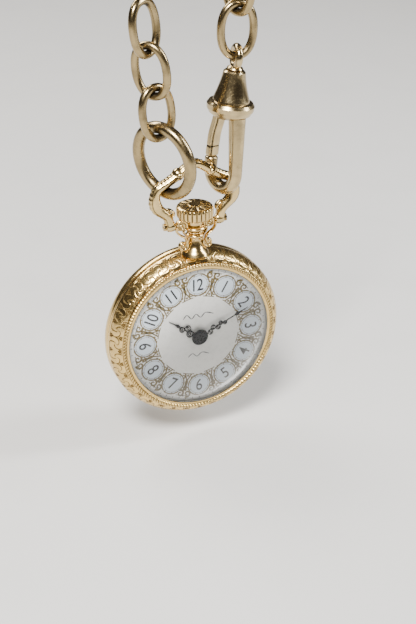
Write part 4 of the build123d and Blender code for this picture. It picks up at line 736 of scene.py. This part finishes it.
LINK_HALF_W, LINK_HALF_H = LINK_WIDTH / 2 - LINK_WIRE_R, LINK_LENGTH / 2 - LINK_WIRE_R
make_piece("ring_at_bow", [wire_loop(LEFT_STRAND, -RING_WIRE_R, -60, RING_HALF_W, RING_HALF_H, RING_WIRE_R)], CHAIN_BRASS,
           "strand_ring", stands_for=("end_ring",))
for node, body, strand, low, yaw in (
    ("chain_link_left_1", "left_link_lower", LEFT_STRAND, LEFT_LOW, 15.0),
    ("chain_link_left_2", "left_link_upper", LEFT_STRAND, LEFT_LOW + LINK_PITCH, -49.0),
    ("chain_link_left_3", "chain_ends", LEFT_STRAND, LEFT_LOW + 2 * LINK_PITCH, 31.0),
    ("chain_link_right_1", "right_link", RIGHT_STRAND, 0.0, -2.0),
    ("chain_link_right_2", "chain_ends", RIGHT_STRAND, LINK_PITCH, -67.0),
):
    make_piece(node + "_wire", [wire_loop(strand, low, yaw, LINK_HALF_W, LINK_HALF_H, LINK_WIRE_R)], CHAIN_BRASS, body,
               stands_for=(node,))

# ---------------------------------------------------------------------------------------------
# Swivel clip. A turned bell that spins on the eye's post, a bent hook brazed under it, and a
# sprung gate on a cross pin; polished brass plate gone satin, with painted shade on the inner side
# of the hook's wire and on the gate's step and slit.
# ---------------------------------------------------------------------------------------------
CLIP_BRASS = aged_metal("clip_brass", (0.52, 0.40, 0.21), (0.035, 0.026, 0.016), 0.17, 0.35, 0.4)
LEAN, YAW, EYE_YAW = radians(7.06), radians(-71.0), radians(-97.0)
CLIP_UP = np.array([sin(LEAN), 0.0, cos(LEAN)])
CLIP_WIDE = np.array([cos(YAW) * cos(LEAN), sin(YAW), -cos(YAW) * sin(LEAN)])
EYE_WIDE = np.array([cos(EYE_YAW) * cos(LEAN), sin(EYE_YAW), -cos(EYE_YAW) * sin(LEAN)])
CLIP_FOOT = np.array([4.5, NECK_Y, 25.4])
HOOK_HALF_W, HOOK_R, SHANK_TOP_R = 2.9, 1.05, 1.35
arc = np.linspace(pi, 2 * pi, 60)
shank = np.linspace((HOOK_HALF_W, HOOK_HALF_W), (1.83, 11.95), 50)[1:]
hook_path = np.vstack([
    [(-HOOK_HALF_W, z) for z in np.linspace(4.3, 3.0, 14)],
    np.stack([HOOK_HALF_W * np.cos(arc), HOOK_HALF_W + HOOK_HALF_W * np.sin(arc)], -1)[1:],
    shank,
])
hook_r = np.full(len(hook_path), HOOK_R)
hook_r[:3] = (0.84, 0.95, 1.02)
hook_r[-len(shank):] = np.linspace(HOOK_R, SHANK_TOP_R, len(shank))
# Painted shade on the inner side of the hook's wire.
hook_shade = 0.5 * np.clip(-np.cos(ROUND), 0, 1)[None, :] * np.ones((len(hook_path), 1))
make_piece("clip_hook_bent", [tube(hook_path, hook_r, hook_r, CLIP_WIDE, CLIP_UP, CLIP_FOOT, recess=hook_shade)], CLIP_BRASS,
           "clip_body", stands_for=("clip_hook",))
fine = np.linspace(0, 2 * pi, 97)[:-1]
gate_path = smooth_line(((-2.9, 4.45), (-2.88, 6.4), (-2.78, 8.2), (-2.35, 10.2), (-2.02, 12.1), (-2.0, 13.1)), 80)
gate_along = np.linspace(0, 1, 80)[:, None]
gate_size = np.interp(gate_along[:, 0], [0.0, 0.02, 0.93, 1.0], [0.86, 1.0, 1.0, 0.75])
step = np.exp(-(((gate_along - 0.17) / 0.012) ** 2))
slit = np.exp(-(((fine - 0.72) / 0.09) ** 2))[None, :] * np.clip((0.86 - gate_along) / 0.03, 0, 1)
squared = (np.cos(fine) ** 4 + np.sin(fine) ** 4)[None, :] ** -0.25
# Painted shade on the gate's step line and down its slit.
gate_shade = np.clip(step + slit, 0, 1)
make_piece("clip_gate_sprung", [tube(gate_path, 0.66 * gate_size, 1.02 * gate_size, CLIP_WIDE, CLIP_UP, CLIP_FOOT, ring=fine,
                                     recess=gate_shade, bumps=squared * (1 - 0.07 * step - 0.16 * slit))],
           CLIP_BRASS, "gate", stands_for=("clip_gate",))
eye_path = round_ended(1.5, 1.5, 2.0, 96)
post = np.array([(0.0, 16.7), (0.0, 19.6)])
collar_line = np.array([(0.0, 19.1), (0.0, 19.3), (0.0, 19.55), (0.0, 19.8)])
make_piece("clip_eye_and_post", [
    tube(eye_path, 0.6, 0.6, EYE_WIDE, CLIP_UP, CLIP_FOOT + 21.17 * CLIP_UP, True),
    tube(post, 0.6, 0.6, EYE_WIDE, CLIP_UP, CLIP_FOOT),
    tube(collar_line, (1.05, 1.3, 1.2, 0.85), (1.05, 1.3, 1.2, 0.85), EYE_WIDE, CLIP_UP, CLIP_FOOT),
], CLIP_BRASS, "clip_eye", stands_for=("swivel_eye",))
for node in ("swivel_bell", "gate_pin"):
    nodes[node].data.materials.clear()
    nodes[node].data.materials.append(CLIP_BRASS)

# ---------------------------------------------------------------------------------------------
# Movement and keyless works. Nickel-plated brass plates with stripes and a fine grain, bright
# brass wheels, polished steel screws, pinions and levers, red jewels, a blued hairspring.
# ---------------------------------------------------------------------------------------------


def striped(name, metal, rough, stripe):
    """Plate with broad polished stripes: a sine wave changes roughness and height across the surface."""
    m = aged_metal(name, metal, (0.2, 0.17, 0.12), rough, 0.1, 0.3)
    t = m.node_tree
    s, relief = t.nodes["Principled BSDF"], t.nodes["Bump"]
    wave = t.nodes.new("ShaderNodeTexWave")
    wave.inputs["Scale"].default_value = stripe
    wave.inputs["Distortion"].default_value = 0.4
    wave.bands_direction = "DIAGONAL"
    link(t, t.nodes.new("ShaderNodeTexCoord").outputs["Object"], wave.inputs["Vector"])
    link(t, calc(t, "ADD", t.nodes["Group"].outputs["Roughness"], calc(t, "MULTIPLY", wave.outputs["Fac"], 0.12)),
         s.inputs["Roughness"])
    link(t, calc(t, "ADD", t.nodes["Group"].outputs["Height"], wave.outputs["Fac"]), relief.inputs["Height"])
    return m


NICKEL = striped("plate_nickel", (0.74, 0.70, 0.62), 0.2, 320.0)
WHEEL_BRASS = aged_metal("wheel_brass", (0.80, 0.62, 0.30), (0.2, 0.14, 0.05), 0.18, 0.1, 0.3)
STEEL = aged_metal("polished_steel", (0.62, 0.62, 0.64), (0.12, 0.11, 0.1), 0.12, 0.08, 0.2)
BLUED = aged_metal("blued_steel", (0.06, 0.11, 0.34), (0.03, 0.03, 0.06), 0.18, 0.1, 0.2)
RUBY = printed("ruby", (0.45, 0.02, 0.07), 0.08, 2200.0, (0.6, 0.1, 0.15), 0.4)
SEAL_RUBBER = printed("seal_rubber", (0.02, 0.02, 0.02), 0.6, 3000.0, (0.06, 0.06, 0.06), 0.45)
for metal, names in (
    (NICKEL, "mainplate barrel_bridge train_bridge balance_cock pallet_cock movement_ring barrel_drum barrel_lid"),
    (WHEEL_BRASS, "centre_wheel third_wheel fourth_wheel minute_wheel hour_wheel balance_wheel"),
    (STEEL, "ratchet_wheel crown_wheel click barrel_arbor mainspring escape_wheel pallet_fork cannon_pinion setting_wheel "
            "winding_pinion clutch setting_lever yoke winding_stem bridge_screws case_screws regulator"),
    (BLUED, "hairspring"), (RUBY, "jewels"), (SEAL_RUBBER, "crown_gasket"), (BOW_GOLD, "bow_pivot_pins"),
):
    for name in names.split():
        nodes[name].data.materials.clear()
        nodes[name].data.materials.append(metal)

# ---------------------------------------------------------------------------------------------
# Studio. A pale floor, three soft lights and a camera that looks down on the watch from its left.
# ---------------------------------------------------------------------------------------------
floor_mesh = bpy.data.meshes.new("studio_floor")
floor_mesh.from_pydata([(-3, -3, -0.019), (3, -3, -0.019), (3, 3, -0.019), (-3, 3, -0.019)], [], [(0, 1, 2, 3)])
floor = bpy.data.objects.new("studio_floor", floor_mesh)
bpy.context.scene.collection.objects.link(floor)
floor_mesh.materials.append(printed("floor_paper", (0.62, 0.61, 0.59), 0.7, 60.0, (0.58, 0.57, 0.55), 0.5))


def softbox(name, place, target, size, power, tint):
    """A square area light aimed at a point."""
    data = bpy.data.lights.new(name, "AREA")
    data.shape, data.size, data.size_y = "RECTANGLE", size[0], size[1]
    data.energy, data.color = power, tint
    light = bpy.data.objects.new(name, data)
    bpy.context.scene.collection.objects.link(light)
    light.location = place
    light.rotation_mode = "QUATERNION"
    away = np.array(place) - np.array(target)
    from mathutils import Vector
    light.rotation_quaternion = Vector(away).to_track_quat("Z", "Y")
    return light


softbox("key_window", (-0.16, -0.22, 0.36), (0, 0, 0.01), (0.13, 0.13), 5.2, (1.0, 0.98, 0.95))
softbox("side_window", (0.30, -0.10, 0.20), (0, 0, 0.01), (0.06, 0.22), 1.6, (0.93, 0.96, 1.0))
softbox("back_window", (-0.10, 0.30, 0.30), (0, 0, 0.02), (0.30, 0.10), 1.6, (1.0, 0.98, 0.95))
world = bpy.data.worlds.new("studio")
bpy.context.scene.world = world
world.use_nodes = True
world.node_tree.nodes["Background"].inputs[0].default_value = (0.055, 0.05, 0.048, 1)
world.node_tree.nodes["Background"].inputs[1].default_value = 1.0

CAM_TURN, CAM_RISE, CAM_ROLL = radians(-22.313), radians(28.021), radians(-0.380)
back = np.array([sin(CAM_TURN) * cos(CAM_RISE), -cos(CAM_TURN) * cos(CAM_RISE), sin(CAM_RISE)])
right = np.array([cos(CAM_TURN), sin(CAM_TURN), 0.0])
up = np.cross(back, right)
right_rolled = cos(CAM_ROLL) * right + sin(CAM_ROLL) * up
up_rolled = -sin(CAM_ROLL) * right + cos(CAM_ROLL) * up
dial_centre = np.array([0.0, -DIAL_DEPTH, 0.0])
eye = dial_centre + 1.571 * right_rolled + 3.864 * up_rolled + 232.9 * back
lens = bpy.data.cameras.new("camera")
lens.sensor_width, lens.lens = 36.0, 81.23
lens.clip_start, lens.clip_end = 0.01, 20.0
camera = bpy.data.objects.new("camera", lens)
bpy.context.scene.collection.objects.link(camera)
from mathutils import Matrix
camera.matrix_world = Matrix([
    [right_rolled[0], up_rolled[0], back[0], eye[0] * MM],
    [right_rolled[1], up_rolled[1], back[1], eye[1] * MM],
    [right_rolled[2], up_rolled[2], back[2], eye[2] * MM],
    [0, 0, 0, 1],
])
bpy.context.scene.camera = camera
